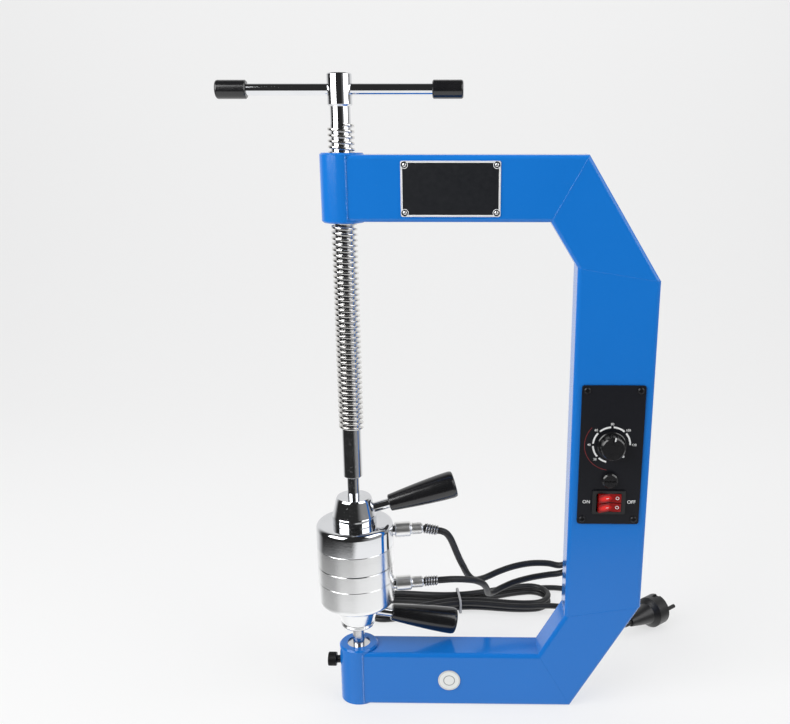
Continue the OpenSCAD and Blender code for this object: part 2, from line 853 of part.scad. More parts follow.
module head_socket(t) {
    color(chrome) translate([0, 0, t + connector_rise]) difference() {
        bar_along_x(socket_d, head_r - cover_wall - 5, socket_out);
        bar_along_x(socket_d - 4, head_r - cover_wall - 3, socket_out + 1);
    }
}

module head_plug(t) {
    c = 0.8;
    a = barrel_d / 2;
    b = knurl_d / 2;
    color(chrome) translate([plug_from, 0, t + connector_rise]) rotate([0, 90, 0]) rotate_extrude() polygon([
        [0, 0], [a - c, 0], [a, c], [a, barrel_l - c], [b, barrel_l],
        [b, barrel_l + knurl_l - c], [b - c, barrel_l + knurl_l], [0, barrel_l + knurl_l]
    ]);
}

// Turns a piece along +X onto a relief that droops from the end of its knurled nut
module along_relief(t, droop) {
    translate([relief_from + relief_neck_d / 2 * sin(droop), 0, t + connector_rise]) rotate([0, droop, 0])
        children();
}

module head_relief(t, droop) {
    ribs = 4;
    pitch = (relief_l - relief_neck_l) / ribs;
    big = cord_d / 2 + 2;
    small = cord_d / 2 + 1;
    color(black) along_relief(t, droop) rotate([0, 90, 0]) rotate_extrude()
        polygon(concat(
            [[0, 0], [relief_neck_d / 2, 0], [relief_neck_d / 2, relief_neck_l]],
            [for (i = [0:ribs - 1], p = [[big, 0], [big, 0.55], [small, 0.6], [small, 0.98]])
                [p.x - 0.12 * i, relief_neck_l + (i + p.y) * pitch]],
            [[cord_d / 2, relief_l], [0, relief_l]]
        ));
}

module upper_plate() { in_upper_head() head_plate(upper_plate_t); }
module upper_cover() { in_upper_head() head_cover(upper_plate_t, upper_cover_h, chrome); }
module upper_cone() { in_upper_head() head_cone(upper_end); }
module upper_stud() { in_upper_head() head_stud(upper_plate_t, upper_end); }
module upper_heater() { in_upper_head() head_heater(upper_plate_t); }
module upper_thermostat() { in_upper_head() head_thermostat(upper_plate_t); }
module upper_handle_rod() { in_upper_head() head_handle_rod(upper_end); }
module upper_grip() { in_upper_head() head_grip(upper_end); }
module upper_socket() { in_upper_head() head_socket(upper_plate_t); }
module upper_plug() { in_upper_head() head_plug(upper_plate_t); }
module upper_relief() { in_upper_head() head_relief(upper_plate_t, upper_droop); }

module lower_plate() { in_lower_head() head_plate(lower_plate_t); }
module lower_cover() { in_lower_head() head_cover(lower_plate_t, lower_cover_h, aluminium); }
module lower_cone() { in_lower_head() head_cone(lower_end); }
module lower_stud() { in_lower_head() head_stud(lower_plate_t, lower_end); }
module lower_heater() { in_lower_head() head_heater(lower_plate_t); }
module lower_thermostat() { in_lower_head() head_thermostat(lower_plate_t); }
module lower_handle_rod() { in_lower_head() head_handle_rod(lower_end); }
module lower_grip() { in_lower_head() head_grip(lower_end); }
module lower_socket() { in_lower_head() head_socket(lower_plate_t); }
module lower_plug() { in_lower_head() head_plug(lower_plate_t); }
module lower_relief() { in_lower_head() head_relief(lower_plate_t, 0); }

// Cords: a tube swept along a route

function unit(v) = v / norm(v);
function across(v, keep) = unit(v - (v * keep) * keep);

// Smooth points on a route, with some steps between each two of its points
function smooth(route, steps) = [
    for (i = [0:len(route) - 2], s = [0:steps - 1])
        let (
            a = route[max(i - 1, 0)], b = route[i], c = route[i + 1],
            d = route[min(i + 2, len(route) - 1)], t = s / steps
        )
        b + 0.5 * t * (c - a) + t * t * (a - 2.5 * b + 2 * c - 0.5 * d)
            + t * t * t * (1.5 * b - 0.5 * a - 1.5 * c + 0.5 * d),
    route[len(route) - 1]
];

function tangents(points) = [
    for (i = [0:len(points) - 1])
        unit(points[min(i + 1, len(points) - 1)] - points[max(i - 1, 0)])
];

// Side vectors that turn as little as they can from ring to ring
function sides(tans, i = 0, last = [0, 0, 1], done = []) =
    i == len(tans) ? done :
    let (
        start = abs(tans[i].z) > 0.9 ? [1, 0, 0] : last,
        side = across(i == 0 ? start : last, tans[i])
    )
    sides(tans, i + 1, side, concat(done, [side]));

module tube(points, d, n) {
    tans = tangents(points);
    side = sides(tans);
    rings = len(points);
    corners = [
        for (i = [0:rings - 1], k = [0:n - 1])
            points[i] + d / 2 * (cos(360 / n * k) * side[i] + sin(360 / n * k) * cross(tans[i], side[i]))
    ];
    walls = [
        for (i = [0:rings - 2], k = [0:n - 1])
            let (a = i * n + k, b = i * n + (k + 1) % n)
            for (face = [[a, a + n, b], [b, a + n, b + n]]) face
    ];
    end = (rings - 1) * n;
    ends = [for (k = [1:n - 2], face = [[0, k, k + 1], [end, end + k + 1, end + k]]) face];
    polyhedron(corners, concat(walls, ends));
}

// Where each lead meets its plug's relief, and its direction there
function lead_end(z, out, droop) = let (
    l = relief_l + soft_gap + out,
    r = relief_from + relief_neck_d / 2 * sin(droop) + l * cos(droop)
) [r * cos(head_turn), r * sin(head_turn), z - l * sin(droop)];
upper_lead_z = upper_face + upper_plate_t + connector_rise;
lower_lead_z = lower_face - lower_plate_t - connector_rise;
gland_nose_y = back_y + gland_hex_t + gland_nose_l;
mains_nose_y = back_y + gland_hex_t + mains_relief_l;
lead_noses = [for (x = lead_gland_x) [x, gland_nose_y, lead_gland_z]];
mains_nose = [reach, mains_nose_y, mains_gland_z];

// Upper lead: from the upper plug down behind the lower lead and up to its gland
upper_lead_route = concat(
    [for (out = [0, 4]) lead_end(upper_lead_z, out, upper_droop)],
    [
        [91.7, 16.4, 179.7], [95.6, 18.3, 173.4], [98.5, 21.2, 165.3], [101.5, 24.8, 155.5],
        [105, 29, 144.5], [109.1, 34, 133.3], [113.9, 42, 119.8],
        [120.9, 52, 108.7], [132, 62, 105.9], [148.7, 72, 108.8], [165.6, 80, 111], [184.5, 85, 112.3],
        [202.9, 87, 111.4]
    ],
    [
        for (p = [[-21.8, 43, -32], [-10, 38, -25], [-2, 27, -12]]) lead_noses[0] + p,
        for (p = [[0, cord_d, 0], [0, soft_gap, 0]]) lead_noses[0] + p
    ]
);

// Lower lead: level out of its plug, down in a bend behind it and up to its gland
lower_lead_route = concat(
    [for (out = [0, cord_d]) lead_end(lower_lead_z, out, 0)],
    [
        [98.5, 18.5, 126.5], [110.3, 24, 123.5], [121.9, 32, 118], [130.6, 42, 108.6], [134.6, 52, 97.3],
        [135.9, 62, 87.5], [141.2, 72, 82.7], [151.5, 81, 83.7], [166.4, 88, 87.2], [185.5, 94, 89.9],
        [204.2, 97, 92]
    ],
    [
        for (p = [[-43, 54, -47], [-28, 49, -37], [-13, 37.5, -18], [-3.5, 23, -5.2]]) lead_noses[1] + p,
        for (p = [[0, cord_d, 0], [0, soft_gap, 0]]) lead_noses[1] + p
    ]
);

module upper_lead() {
    color(black) tube(smooth(upper_lead_route, 2), cord_d, 8);
}

module lower_lead() {
    color(black) tube(smooth(lower_lead_route, 2), cord_d, 8);
}

// Mains cord: down to the bench, a tied hank behind the frame, and a tail to the plug.
// The hank is one cord that spirals in on the bench and out again on top of itself.
hank_middle = [102, 186];
hank_turn = 8;
hank_loops = 2.82;
hank_half = 92;
hank_bend = 30;
hank_waist = 15;
hank_step = 8.6;
hank_layer = cord_d + 0.8;
hank_low = cord_d / 2 + 0.2;
tie_t = 0.8;
tie_w = 2.6;
tie_lift = 1.2;
loop_rings = 24;

function hank_in(u) = hank_step * min(u, hank_loops - u);
function hank_climb(u) = let (s = min(max((u - hank_loops / 2) / 0.32 + 0.5, 0), 1)) s * s * (3 - 2 * s);
function hank_run(x, bend, waist) = waist + (bend - waist) * (1 - cos(180 * min(1, abs(x) / hank_half))) / 2;
function hank_flat(t, bend, waist) =
    t < 0.32 ? let (x = hank_half * (1 - t / 0.16)) [x, hank_run(x, bend, waist)] :
    t < 0.5 ? let (a = 90 + (t - 0.32) * 1000) [-hank_half + bend * cos(a), bend * sin(a)] :
    t < 0.82 ? let (x = hank_half * ((t - 0.5) / 0.16 - 1)) [x, -hank_run(x, bend, waist)] :
    let (a = -90 + (t - 0.82) * 1000) [hank_half + bend * cos(a), bend * sin(a)];
function hank_place(p, z) = [
    hank_middle.x + p.x * cos(hank_turn) - p.y * sin(hank_turn),
    hank_middle.y + p.x * sin(hank_turn) + p.y * cos(hank_turn),
    z
];
function hank_point(u) =
    let (
        p = hank_flat(u - floor(u), hank_bend - hank_in(u), hank_waist - hank_in(u)),
        lift = tie_lift * exp(-pow(p.x / 45, 2))
    )
    hank_place(p, hank_low + lift + hank_layer * hank_climb(u));
hank_rings = floor(hank_loops * loop_rings);
hank_points = [for (i = [0:hank_rings]) hank_point(hank_loops * i / hank_rings)];

// Least gap between two stretches of the hank, measured on finer points
hank_fine = [for (i = [0:400]) hank_point(hank_loops * i / 400)];
hank_gap = min([
    for (i = [0:2:400], j = [i + 40:400]) norm(hank_fine[i] - hank_fine[j])
]) - cord_d;
echo(hank_gap = hank_gap);

module mains_hank() {
    color(black) tube(hank_points, cord_d, 6);
}

mains_route = concat(
    [
        for (p = [[0, soft_gap, 0], [0, cord_d, 0], [0.5, 20, -7.5], [3, 32.5, -21.5]]) mains_nose + p,
        [reach + 8, 113, 70], [reach + 11, 130, 47],
        [reach + 13, 149, 27], [reach + 13, 169, 13]
    ],
    [[263, 196, 6], [258, 213, 4], [246, 226, 3.8], [230, 231.3, 3.8], [212, 231.5, 3.8]],
    [hank_points[0] + cord_d * [cos(hank_turn), sin(hank_turn), 0], hank_points[0]]
);

plug_turn = 41;
plug_neck_end = [306, 120.5, mains_plug_d / 2 + 0.2];
plug_way = [cos(plug_turn), sin(plug_turn), 0];
tail_route = concat(
    [hank_points[hank_rings], hank_points[hank_rings] + cord_d * [cos(hank_turn), sin(hank_turn), 0]],
    [
        [218, 170.8, 11.2], [232, 169.5, 10.5], [242, 166, 9], [250, 159.5, 7], [256, 151, 5.6],
        [260.5, 141.5, 5], [264.5, 132, 5], [269.5, 123.5, 6], [276.5, 117, 9.5],
        [285.5, 113.5, 14.5], [294, 114, 17.8]
    ],
    [for (back = [cord_d, soft_gap]) plug_neck_end - back * plug_way]
);

module mains_cord() {
    color(black) {
        tube(smooth(mains_route, 2), cord_d, 8);
        tube(smooth(tail_route, 2), cord_d, 8);
    }
}

module hank_tie() {
    w = 2 * hank_waist + cord_d + 1;
    h = 2 * cord_d + hank_layer - cord_d + 2 * tie_lift - 0.4;
    r = 4;
    color(white) translate([hank_middle.x, hank_middle.y, h / 2 + tie_t + 0.1]) rotate([0, 0, hank_turn])
        rotate([90, 0, 90]) linear_extrude(tie_w, center = true) difference() {
            rounded_rect(w + 2 * tie_t, h + 2 * tie_t, r + tie_t);
            rounded_rect(w, h, r);
        }
}

// Round moulded plug with a tapered neck, two grip ears and two pins
module mains_plug() {
    r = mains_plug_d / 2;
    neck_r = cord_d / 2 + 2;
    neck_big_r = 0.68 * r;
    pin_l = 19;
    pin_d = 4.8;
    pin_pitch = 19;
    ear_w = 6;
    ear_d = 2.5;
    ear_l = 10;
    color(black) translate(plug_neck_end) rotate([0, 0, plug_turn]) {
        rotate([0, 90, 0]) difference() {
            rotate_extrude() polygon([
                [0, 0], [neck_r, 0], [neck_big_r, mains_neck_l], [r - 2, mains_neck_l + 3],
                [r, mains_neck_l + 5], [r, mains_neck_l + mains_plug_l - 1.5],
                [r - 1.5, mains_neck_l + mains_plug_l], [0, mains_neck_l + mains_plug_l]
            ]);
            for (side = [-1, 1]) translate([side * r, 0, mains_neck_l + mains_plug_l])
                cube([2 * ear_d, ear_w, 2 * ear_l], center = true);
        }
        for (side = [-1, 1]) translate([0, side * pin_pitch / 2, 0])
            bar_along_x(pin_d, mains_neck_l + mains_plug_l - 1, mains_neck_l + mains_plug_l + pin_l);
    }
}

upper_arm();
upper_brace();
column();
lower_brace();
lower_arm();
nut_boss();
socket_boss();
socket_bush();
lower_post();
lower_thrust_washer();
clamp_screw();
name_plate();
name_plate_rivets();
round_badge();
control_panel();
panel_screws();
timer_body();
timer_shaft();
timer_knob();
fuse_holder();
fuse_cap();
switch_housing();
switch_pin();
rocker_upper();
rocker_lower();
terminal_block();
lead_glands();
mains_gland();
press_screw();
cross_bar();
bar_caps();
thrust_washer();
upper_cone();
upper_cover();
upper_plate();
upper_stud();
upper_heater();
upper_thermostat();
upper_handle_rod();
upper_grip();
upper_socket();
upper_plug();
upper_relief();
lower_cone();
lower_cover();
lower_plate();
lower_stud();
lower_heater();
lower_thermostat();
lower_handle_rod();
lower_grip();
lower_socket();
lower_plug();
lower_relief();
upper_lead();
lower_lead();
mains_cord();
mains_hank();
hank_tie();
mains_plug();
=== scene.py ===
"""A bench spot vulcanizer for tyres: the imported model, dressed piece by piece as it is put together."""
import math
import bmesh
import bpy
from mathutils import Matrix, Vector


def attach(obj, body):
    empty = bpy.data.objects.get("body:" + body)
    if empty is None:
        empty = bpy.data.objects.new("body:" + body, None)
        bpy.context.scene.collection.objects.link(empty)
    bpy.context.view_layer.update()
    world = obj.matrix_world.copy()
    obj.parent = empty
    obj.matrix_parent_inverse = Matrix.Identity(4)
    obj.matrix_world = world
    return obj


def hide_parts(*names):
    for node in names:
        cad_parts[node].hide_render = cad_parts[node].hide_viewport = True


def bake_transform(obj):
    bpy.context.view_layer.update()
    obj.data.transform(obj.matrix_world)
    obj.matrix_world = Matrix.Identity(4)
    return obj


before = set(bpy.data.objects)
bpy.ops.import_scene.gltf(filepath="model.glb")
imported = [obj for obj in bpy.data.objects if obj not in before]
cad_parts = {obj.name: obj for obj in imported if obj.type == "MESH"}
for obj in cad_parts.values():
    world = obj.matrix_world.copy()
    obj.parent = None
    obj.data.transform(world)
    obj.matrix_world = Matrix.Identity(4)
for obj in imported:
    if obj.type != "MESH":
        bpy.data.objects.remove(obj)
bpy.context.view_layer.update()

scene = bpy.context.scene


# Camera
# The photograph's eye: a little above the upper arm, left of the frame's middle, tilted down.
# Its place and lens come from the edges of the frame and the pitch of the screw.
eye = bpy.data.cameras.new("eye")
eye.sensor_width = 36.0
eye.lens = 41.14
eye.shift_x = -0.0783
eye.shift_y = 0.0565
eye.clip_start = 0.01
eye_object = bpy.data.objects.new("eye", eye)
eye_object.location = (0.1168, -0.8337, 0.5717)
eye_object.rotation_euler = (math.radians(90 - 16.76), 0, math.radians(0.97))
scene.collection.objects.link(eye_object)
scene.camera = eye_object


# Welded frame
# Five lengths of folded steel box section, mitred and welded into a C, with a turned boss at each
# open end. The seams are ground almost flush and the whole frame is powder coated in glossy blue.
class Socket:
    """A socket in a node tree: sums and products of sockets add Math nodes, and node() adds any other."""

    def __init__(self, tree, socket=None):
        self.tree = tree
        self.socket = socket

    def node(self, kind, settings=None, inputs=None, out=0):
        made = self.tree.nodes.new(kind)
        for name, value in (settings or {}).items():
            setattr(made, name, value)
        for name, value in (inputs or {}).items():
            self.feed(made.inputs[name], value)
        return Socket(self.tree, made.outputs[out])

    def feed(self, socket, value):
        if isinstance(value, Socket):
            self.tree.links.new(value.socket, socket)
        else:
            socket.default_value = value

    def math(self, operation, a, b=0.0):
        return self.node("ShaderNodeMath", {"operation": operation}, {0: a, 1: b})

    def __add__(self, other):
        return self.math("ADD", self, other)

    def __sub__(self, other):
        return self.math("SUBTRACT", self, other)

    def __rsub__(self, other):
        return self.math("SUBTRACT", other, self)

    def __mul__(self, other):
        return self.math("MULTIPLY", self, other)

    def __truediv__(self, other):
        return self.math("DIVIDE", self, other)

    def __lt__(self, other):
        return self.math("LESS_THAN", self, other)

    def __gt__(self, other):
        return self.math("GREATER_THAN", self, other)

    __radd__ = __add__
    __rmul__ = __mul__

    def place(self, middle=(0, 0, 0), stretch=(1, 1, 1)):
        """Object coordinates, counted from a middle and stretched."""
        seen = self.node("ShaderNodeTexCoord", out="Object")
        away = self.node("ShaderNodeVectorMath", {"operation": "SUBTRACT"}, {0: seen, 1: middle})
        return self.node("ShaderNodeVectorMath", {"operation": "MULTIPLY"}, {0: away, 1: stretch})

    def axes(self, middle=(0, 0, 0)):
        """The three numbers of place()."""
        parts = self.tree.nodes.new("ShaderNodeSeparateXYZ")
        self.feed(parts.inputs[0], self.place(middle))
        return [Socket(self.tree, out) for out in parts.outputs]

    def grain(self, scale, detail=3.0, stretch=(1, 1, 1)):
        at = self.place(stretch=stretch)
        return self.node("ShaderNodeTexNoise", None, {"Vector": at, "Scale": scale, "Detail": detail})

    def noise(self, way, scale, detail):
        """Noise along one number."""
        inputs = {"W": way, "Scale": scale, "Detail": detail}
        return self.node("ShaderNodeTexNoise", {"noise_dimensions": "1D"}, inputs)

    def tint(self, mask, low, high):
        return self.node("ShaderNodeMix", {"data_type": "RGBA"}, {0: mask, 6: low, 7: high}, 2)

    def bump(self, height, strength, distance=0.001):
        return self.node(
            "ShaderNodeBump", None, {"Height": height, "Strength": strength, "Distance": distance}
        )

    def surface(self, sockets):
        shader = self.tree.nodes["Principled BSDF"]
        for name, value in sockets.items():
            self.feed(shader.inputs[name], value)


def finish(name):
    """A new finish and its node tree."""
    made = bpy.data.materials.new(name)
    made.use_nodes = True
    return made, Socket(made.node_tree)


def coat(made, *nodes):
    """Gives carried CAD nodes a finish."""
    for name in nodes:
        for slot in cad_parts[name].material_slots:
            slot.material = made


def settle(mesh, place=None):
    """Brings a mesh drawn in millimetres to its place, in metres, closed and facing outwards."""
    work = bmesh.new()
    work.from_mesh(mesh)
    bmesh.ops.remove_doubles(work, verts=work.verts, dist=0.0005)
    if place is not None:
        bmesh.ops.transform(work, matrix=place, verts=work.verts)
    bmesh.ops.scale(work, vec=(0.001, 0.001, 0.001), verts=work.verts)
    bmesh.ops.recalc_face_normals(work, faces=work.faces)
    work.to_mesh(mesh)
    work.free()
    return mesh


def piece(name, mesh, made=None, smooth=32):
    """A finished piece at the origin, with smooth faces up to an angle."""
    if made is not None:
        mesh.materials.clear()
        mesh.materials.append(made)
    mesh.polygons.foreach_set("use_smooth", [True] * len(mesh.polygons))
    mesh.set_sharp_from_angle(angle=math.radians(smooth))
    mesh.name = name
    shown = bpy.data.objects.new(name, mesh)
    scene.collection.objects.link(shown)
    return shown


def grown(name, build, sizes, made, base=None):
    """Runs a geometry tree with named sizes once and keeps its plain mesh, in millimetres."""
    group = bpy.data.node_groups.new(name + "_tree", "GeometryNodeTree")
    group.interface.new_socket("Geometry", in_out="INPUT", socket_type="NodeSocketGeometry")
    keys = {}
    for key, value in sizes.items():
        kind = "NodeSocketInt" if isinstance(value, int) else "NodeSocketFloat"
        keys[key] = group.interface.new_socket(key, in_out="INPUT", socket_type=kind).identifier
    group.interface.new_socket("Geometry", in_out="OUTPUT", socket_type="NodeSocketGeometry")
    entry = group.nodes.new("NodeGroupInput")
    size = {out.name: Socket(group, out) for out in entry.outputs if out.name}
    shape = build(Socket(group), size)
    shape = shape.node("GeometryNodeRealizeInstances", None, {0: shape})
    shape = shape.node("GeometryNodeSetMaterial", None, {"Geometry": shape, "Material": made})
    leave = group.nodes.new("NodeGroupOutput")
    group.links.new(shape.socket, leave.inputs[0])
    carrier = bpy.data.objects.new(name + "_carrier", base or bpy.data.meshes.new(name + "_base"))
    scene.collection.objects.link(carrier)
    grow = carrier.modifiers.new("grow", "NODES")
    grow.node_group = group
    for key, value in sizes.items():
        grow[keys[key]] = value
    mesh = bpy.data.meshes.new_from_object(carrier.evaluated_get(bpy.context.evaluated_depsgraph_get()))
    carrier.modifiers.remove(grow)
    bpy.data.objects.remove(carrier)
    return mesh


blue_coat, s = finish("blue_coat")
mottle = s.grain(9.0, 2.0)
peel = s.grain(380.0, 1.0)
specks = s.grain(1500.0, 1.0) > 0.80
deep_blue = (0.0066, 0.152, 0.535, 1)
light_blue = (0.0100, 0.169, 0.582, 1)
speck_blue = (0.35, 0.5, 0.8, 1)
s.surface({
    "Base Color": s.tint(specks * 0.25, s.tint(mottle, deep_blue, light_blue), speck_blue),
    "Roughness": 0.13 + 0.07 * mottle,
    "Specular IOR Level": 0.32,
    "Coat Weight": 0.12,
    "Coat Roughness": 0.06,
    "Normal": s.bump(peel, 0.05, 0.0006),
})
coat(blue_coat, "upper_arm", "upper_brace", "column", "lower_brace", "lower_arm", "nut_boss", "socket_boss")


def seam_bead(s, size):
    """A weld bead round a mitre: a rounded outline swept with a small circle."""
    outline = s.node(
        "GeometryNodeCurvePrimitiveQuadrilateral", None, {"Width": size["length"], "Height": size["depth"]}
    )
    outline = s.node(
        "GeometryNodeFilletCurve", {"mode": "POLY"}, {"Curve": outline, "Radius": size["corner"], "Count": 8}
    )
    outline = s.node(
        "GeometryNodeResampleCurve", {"mode": "LENGTH"}, {"Curve": outline, "Length": size["ripple"]}
    )
    wander = s.node("ShaderNodeTexNoise", None, {"Scale": 0.35, "Detail": 2.0}, out="Color")
    wander = s.node("ShaderNodeVectorMath", {"operation": "SUBTRACT"}, {0: wander, 1: (0.5, 0.5, 0.5)})
    wander = s.node("ShaderNodeVectorMath", {"operation": "MULTIPLY"}, {0: wander, 1: (0.25, 0.25, 0.8)})
    outline = s.node("GeometryNodeSetPosition", None, {"Geometry": outline, "Offset": wander})
    round_bead = s.node("GeometryNodeCurvePrimitiveCircle", None, {"Resolution": 10, "Radius": size["bead"]})
    return s.node("GeometryNodeCurveToMesh", None, {"Curve": outline, "Profile Curve": round_bead})


frame_d, fold_r = 38.0, 4.0
bead_sunk = 0.9
mitres = {
    "seam_upper_arm": ((186.85, 497.0), (219.0, 555.0)),
    "seam_upper_brace": ((212.0, 456.75), (288.0, 444.58)),
    "seam_lower_arm": ((186.36, 60.0), (220.42, 1.0)),
    "seam_lower_brace": ((212.0, 104.41), (288.0, 116.05)),
}
for name, (inner, outer) in mitres.items():
    along = Vector((outer[0] - inner[0], 0, outer[1] - inner[1]))
    sizes = {
        "length": along.length - bead_sunk, "depth": frame_d - bead_sunk, "corner": fold_r,
        "ripple": 1.2, "bead": 0.6,
    }
    along.normalize()
    across = Vector((0, 1, 0))
    turn = Matrix((along, across, along.cross(across))).transposed().to_4x4()
    middle = Matrix.Translation(((inner[0] + outer[0]) / 2, 0, (inner[1] + outer[1]) / 2))
    bead = grown(name, seam_bead, sizes, blue_coat)
    bead = piece(name, settle(bead, middle @ turn), blue_coat, 60)
    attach(bead, "frame")


def boss_bead(s, size):
    """An upright weld bead with an uneven, rippled crest."""
    line = s.node("GeometryNodeCurvePrimitiveLine", None, {"End": (0.0, 0.0, 1.0)})
    line = s.node("GeometryNodeResampleCurve", {"mode": "COUNT"}, {"Curve": line, "Count": size["ripples"]})
    way = s.node("GeometryNodeSplineParameter", out="Factor")
    tall = s.node("ShaderNodeCombineXYZ", None, {"Z": way * size["height"]})
    line = s.node("GeometryNodeSetPosition", None, {"Geometry": line, "Position": tall})
    crest = 0.55 + s.noise(way * size["height"], 0.42, 3.0) * 0.9
    line = s.node("GeometryNodeSetCurveRadius", None, {"Curve": line, "Radius": crest})
    round_bead = s.node("GeometryNodeCurvePrimitiveCircle", None, {"Resolution": 12, "Radius": size["bead"]})
    return s.node(
        "GeometryNodeCurveToMesh", None, {"Curve": line, "Profile Curve": round_bead, "Fill Caps": True}
    )


weld_coat, s = finish("weld_coat")
crust = s.grain(420.0, 2.0)
s.surface({
    "Base Color": s.tint(crust, deep_blue, light_blue),
    "Roughness": 0.12 + 0.06 * crust,
    "Specular IOR Level": 0.9,
    "Coat Weight": 1.0,
    "Coat Roughness": 0.04,
    "Normal": s.bump(crust, 0.6, 0.001),
})
boss_bead_x, boss_bead_y = 5.6, -18.9
for name, low, high in (("upper_boss_bead", 498.0, 554.2), ("lower_boss_bead", 0.8, 59.2)):
    sizes = {"height": high - low, "ripples": 90, "bead": 0.85}
    bead = grown(name, boss_bead, sizes, weld_coat)
    bead = piece(name, settle(bead, Matrix.Translation((boss_bead_x, boss_bead_y, low))), weld_coat, 60)
    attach(bead, "frame")


# Lower seat
# A bright steel bush in the lower boss holds the post that the lower head turns on.
# A black socket-head screw from the left clamps the post.
turned_steel, s = finish("turned_steel")
x, y, z = s.axes()
rings = s.noise((x * x + y * y) * 20.0 + z, 2600.0, 2.0)
s.surface({
    "Base Color": s.tint(s.grain(40.0), (0.62, 0.62, 0.63, 1), (0.72, 0.72, 0.73, 1)),
    "Metallic": 1.0,
    "Roughness": 0.16 + 0.12 * rings,
    "Normal": s.bump(rings, 0.05, 0.0003),
})
coat(turned_steel, "socket_bush", "lower_post", "timer_shaft", "switch_pin", "upper_stud", "lower_stud")

washer_brass, s = finish("washer_brass")
s.surface({
    "Base Color": s.tint(s.grain(120.0), (0.56, 0.40, 0.14, 1), (0.66, 0.50, 0.22, 1)),
    "Metallic": 1.0,
    "Roughness": 0.25 + 0.15 * s.grain(300.0),
})
coat(washer_brass, "lower_thrust_washer", "thrust_washer")

black_oxide, s = finish("black_oxide")
s.surface({
    "Base Color": s.tint(s.grain(200.0), (0.010, 0.010, 0.011, 1), (0.022, 0.021, 0.020, 1)),
    "Metallic": 0.6,
    "Roughness": 0.32 + 0.2 * s.grain(700.0),
})
coat(black_oxide, "clamp_screw")


def ring_of(s, size):
    """Copies of a small shape round a circle, each turned outwards."""
    ring = s.node("GeometryNodeMeshCircle", None, {"Vertices": size["count"], "Radius": size["radius"]})
    turn = s.node("GeometryNodeInputIndex") * math.tau / size["count"]
    turn = s.node("ShaderNodeCombineXYZ", None, {"Z": turn})
    turn = s.node("FunctionNodeEulerToRotation", None, {0: turn})
    return s.node(
        "GeometryNodeInstanceOnPoints", None, {"Points": ring, "Instance": size["Geometry"], "Rotation": turn}
    )


def ridge(length, width, rise, low=0.0):
    """One small ridge along Z with a sloping crest, standing out along X from a little below zero."""
    root = -0.4
    foot, crest = width * 0.5, width * 0.28
    high = low + length
    steps = [(low, 0.0, foot), (low + rise, rise, crest), (high - rise, rise, crest), (high, 0.0, foot)]
    points = []
    for at, out, half in steps:
        points += [(root, -foot, at), (root, foot, at), (out, half, at), (out, -half, at)]
    faces = [(3, 2, 1, 0), (12, 13, 14, 15)]
    for k in range(3):
        for i in range(4):
            j = (i + 1) % 4
            faces.append((4 * k + i, 4 * k + j, 4 * k + 4 + j, 4 * k + 4 + i))
    mesh = bpy.data.meshes.new("ridge")
    mesh.from_pydata(points, [], faces)
    return mesh


def on_x(x, y, z):
    """Turns what was drawn along +Z onto +X, at a place."""
    return Matrix.Translation((x, y, z)) @ Matrix.Rotation(math.radians(90), 4, "Y")


def on_panel(x, y, z):
    """Turns what was drawn along +Z towards the front, at a place."""
    return Matrix.Translation((x, y, z)) @ Matrix.Rotation(math.radians(90), 4, "X")


clamp_head_x, clamp_thread_x, clamp_z = -32.5, -24.2, 42.0
knurl = grown("clamp_knurl", ring_of, {"count": 36, "radius": 6.98}, black_oxide, ridge(7.6, 0.9, 0.25, 0.4))
clamp_knurl = piece("clamp_knurl", settle(knurl, on_x(clamp_head_x, 0, clamp_z)), black_oxide, 20)
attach(clamp_knurl, "clamp")


def thread_ridge(s, size):
    """A thread: a helix swept with a trapezoid that fades out at both ends."""
    helix = s.node("GeometryNodeCurveSpiral", None, {
        "Resolution": 40, "Rotations": size["turns"], "Height": size["height"],
        "Start Radius": size["root"], "End Radius": size["root"],
    })
    helix = s.node("GeometryNodeSetCurveNormal", {"mode": "Z_UP"}, {"Curve": helix})
    way = s.node("GeometryNodeSplineParameter", out="Factor")
    near_end = s.math("MINIMUM", way, 1.0 - way) * size["turns"] * 1.4
    fade = s.math("MINIMUM", near_end + 0.03, 1.0)
    helix = s.node("GeometryNodeSetCurveRadius", None, {"Curve": helix, "Radius": fade})
    tooth = s.node("GeometryNodeCurvePrimitiveQuadrilateral", {"mode": "TRAPEZOID"}, {
        "Height": size["depth"] * 2.0, "Offset": 0.0,
        "Bottom Width": size["foot"], "Top Width": size["crest"],
    })
    tooth = s.node("GeometryNodeFilletCurve", {"mode": "POLY"}, {
        "Curve": tooth, "Radius": size["ease"], "Count": 2, "Limit Radius": True,
    })
    turn = s.node("ShaderNodeCombineXYZ", None, {"Z": math.radians(90)})
    tooth = s.node("GeometryNodeTransform", None, {"Geometry": tooth, "Rotation": turn})
    return s.node("GeometryNodeCurveToMesh", None, {"Curve": helix, "Profile Curve": tooth})


sizes = {"turns": 3.6, "root": 3.55, "height": 4.4, "depth": 0.5, "foot": 1.0, "crest": 0.3, "ease": 0.08}
thread = grown("clamp_thread", thread_ridge, sizes, black_oxide)
clamp_thread = piece("clamp_thread", settle(thread, on_x(clamp_thread_x, 0, clamp_z)), black_oxide, 25)
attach(clamp_thread, "clamp")


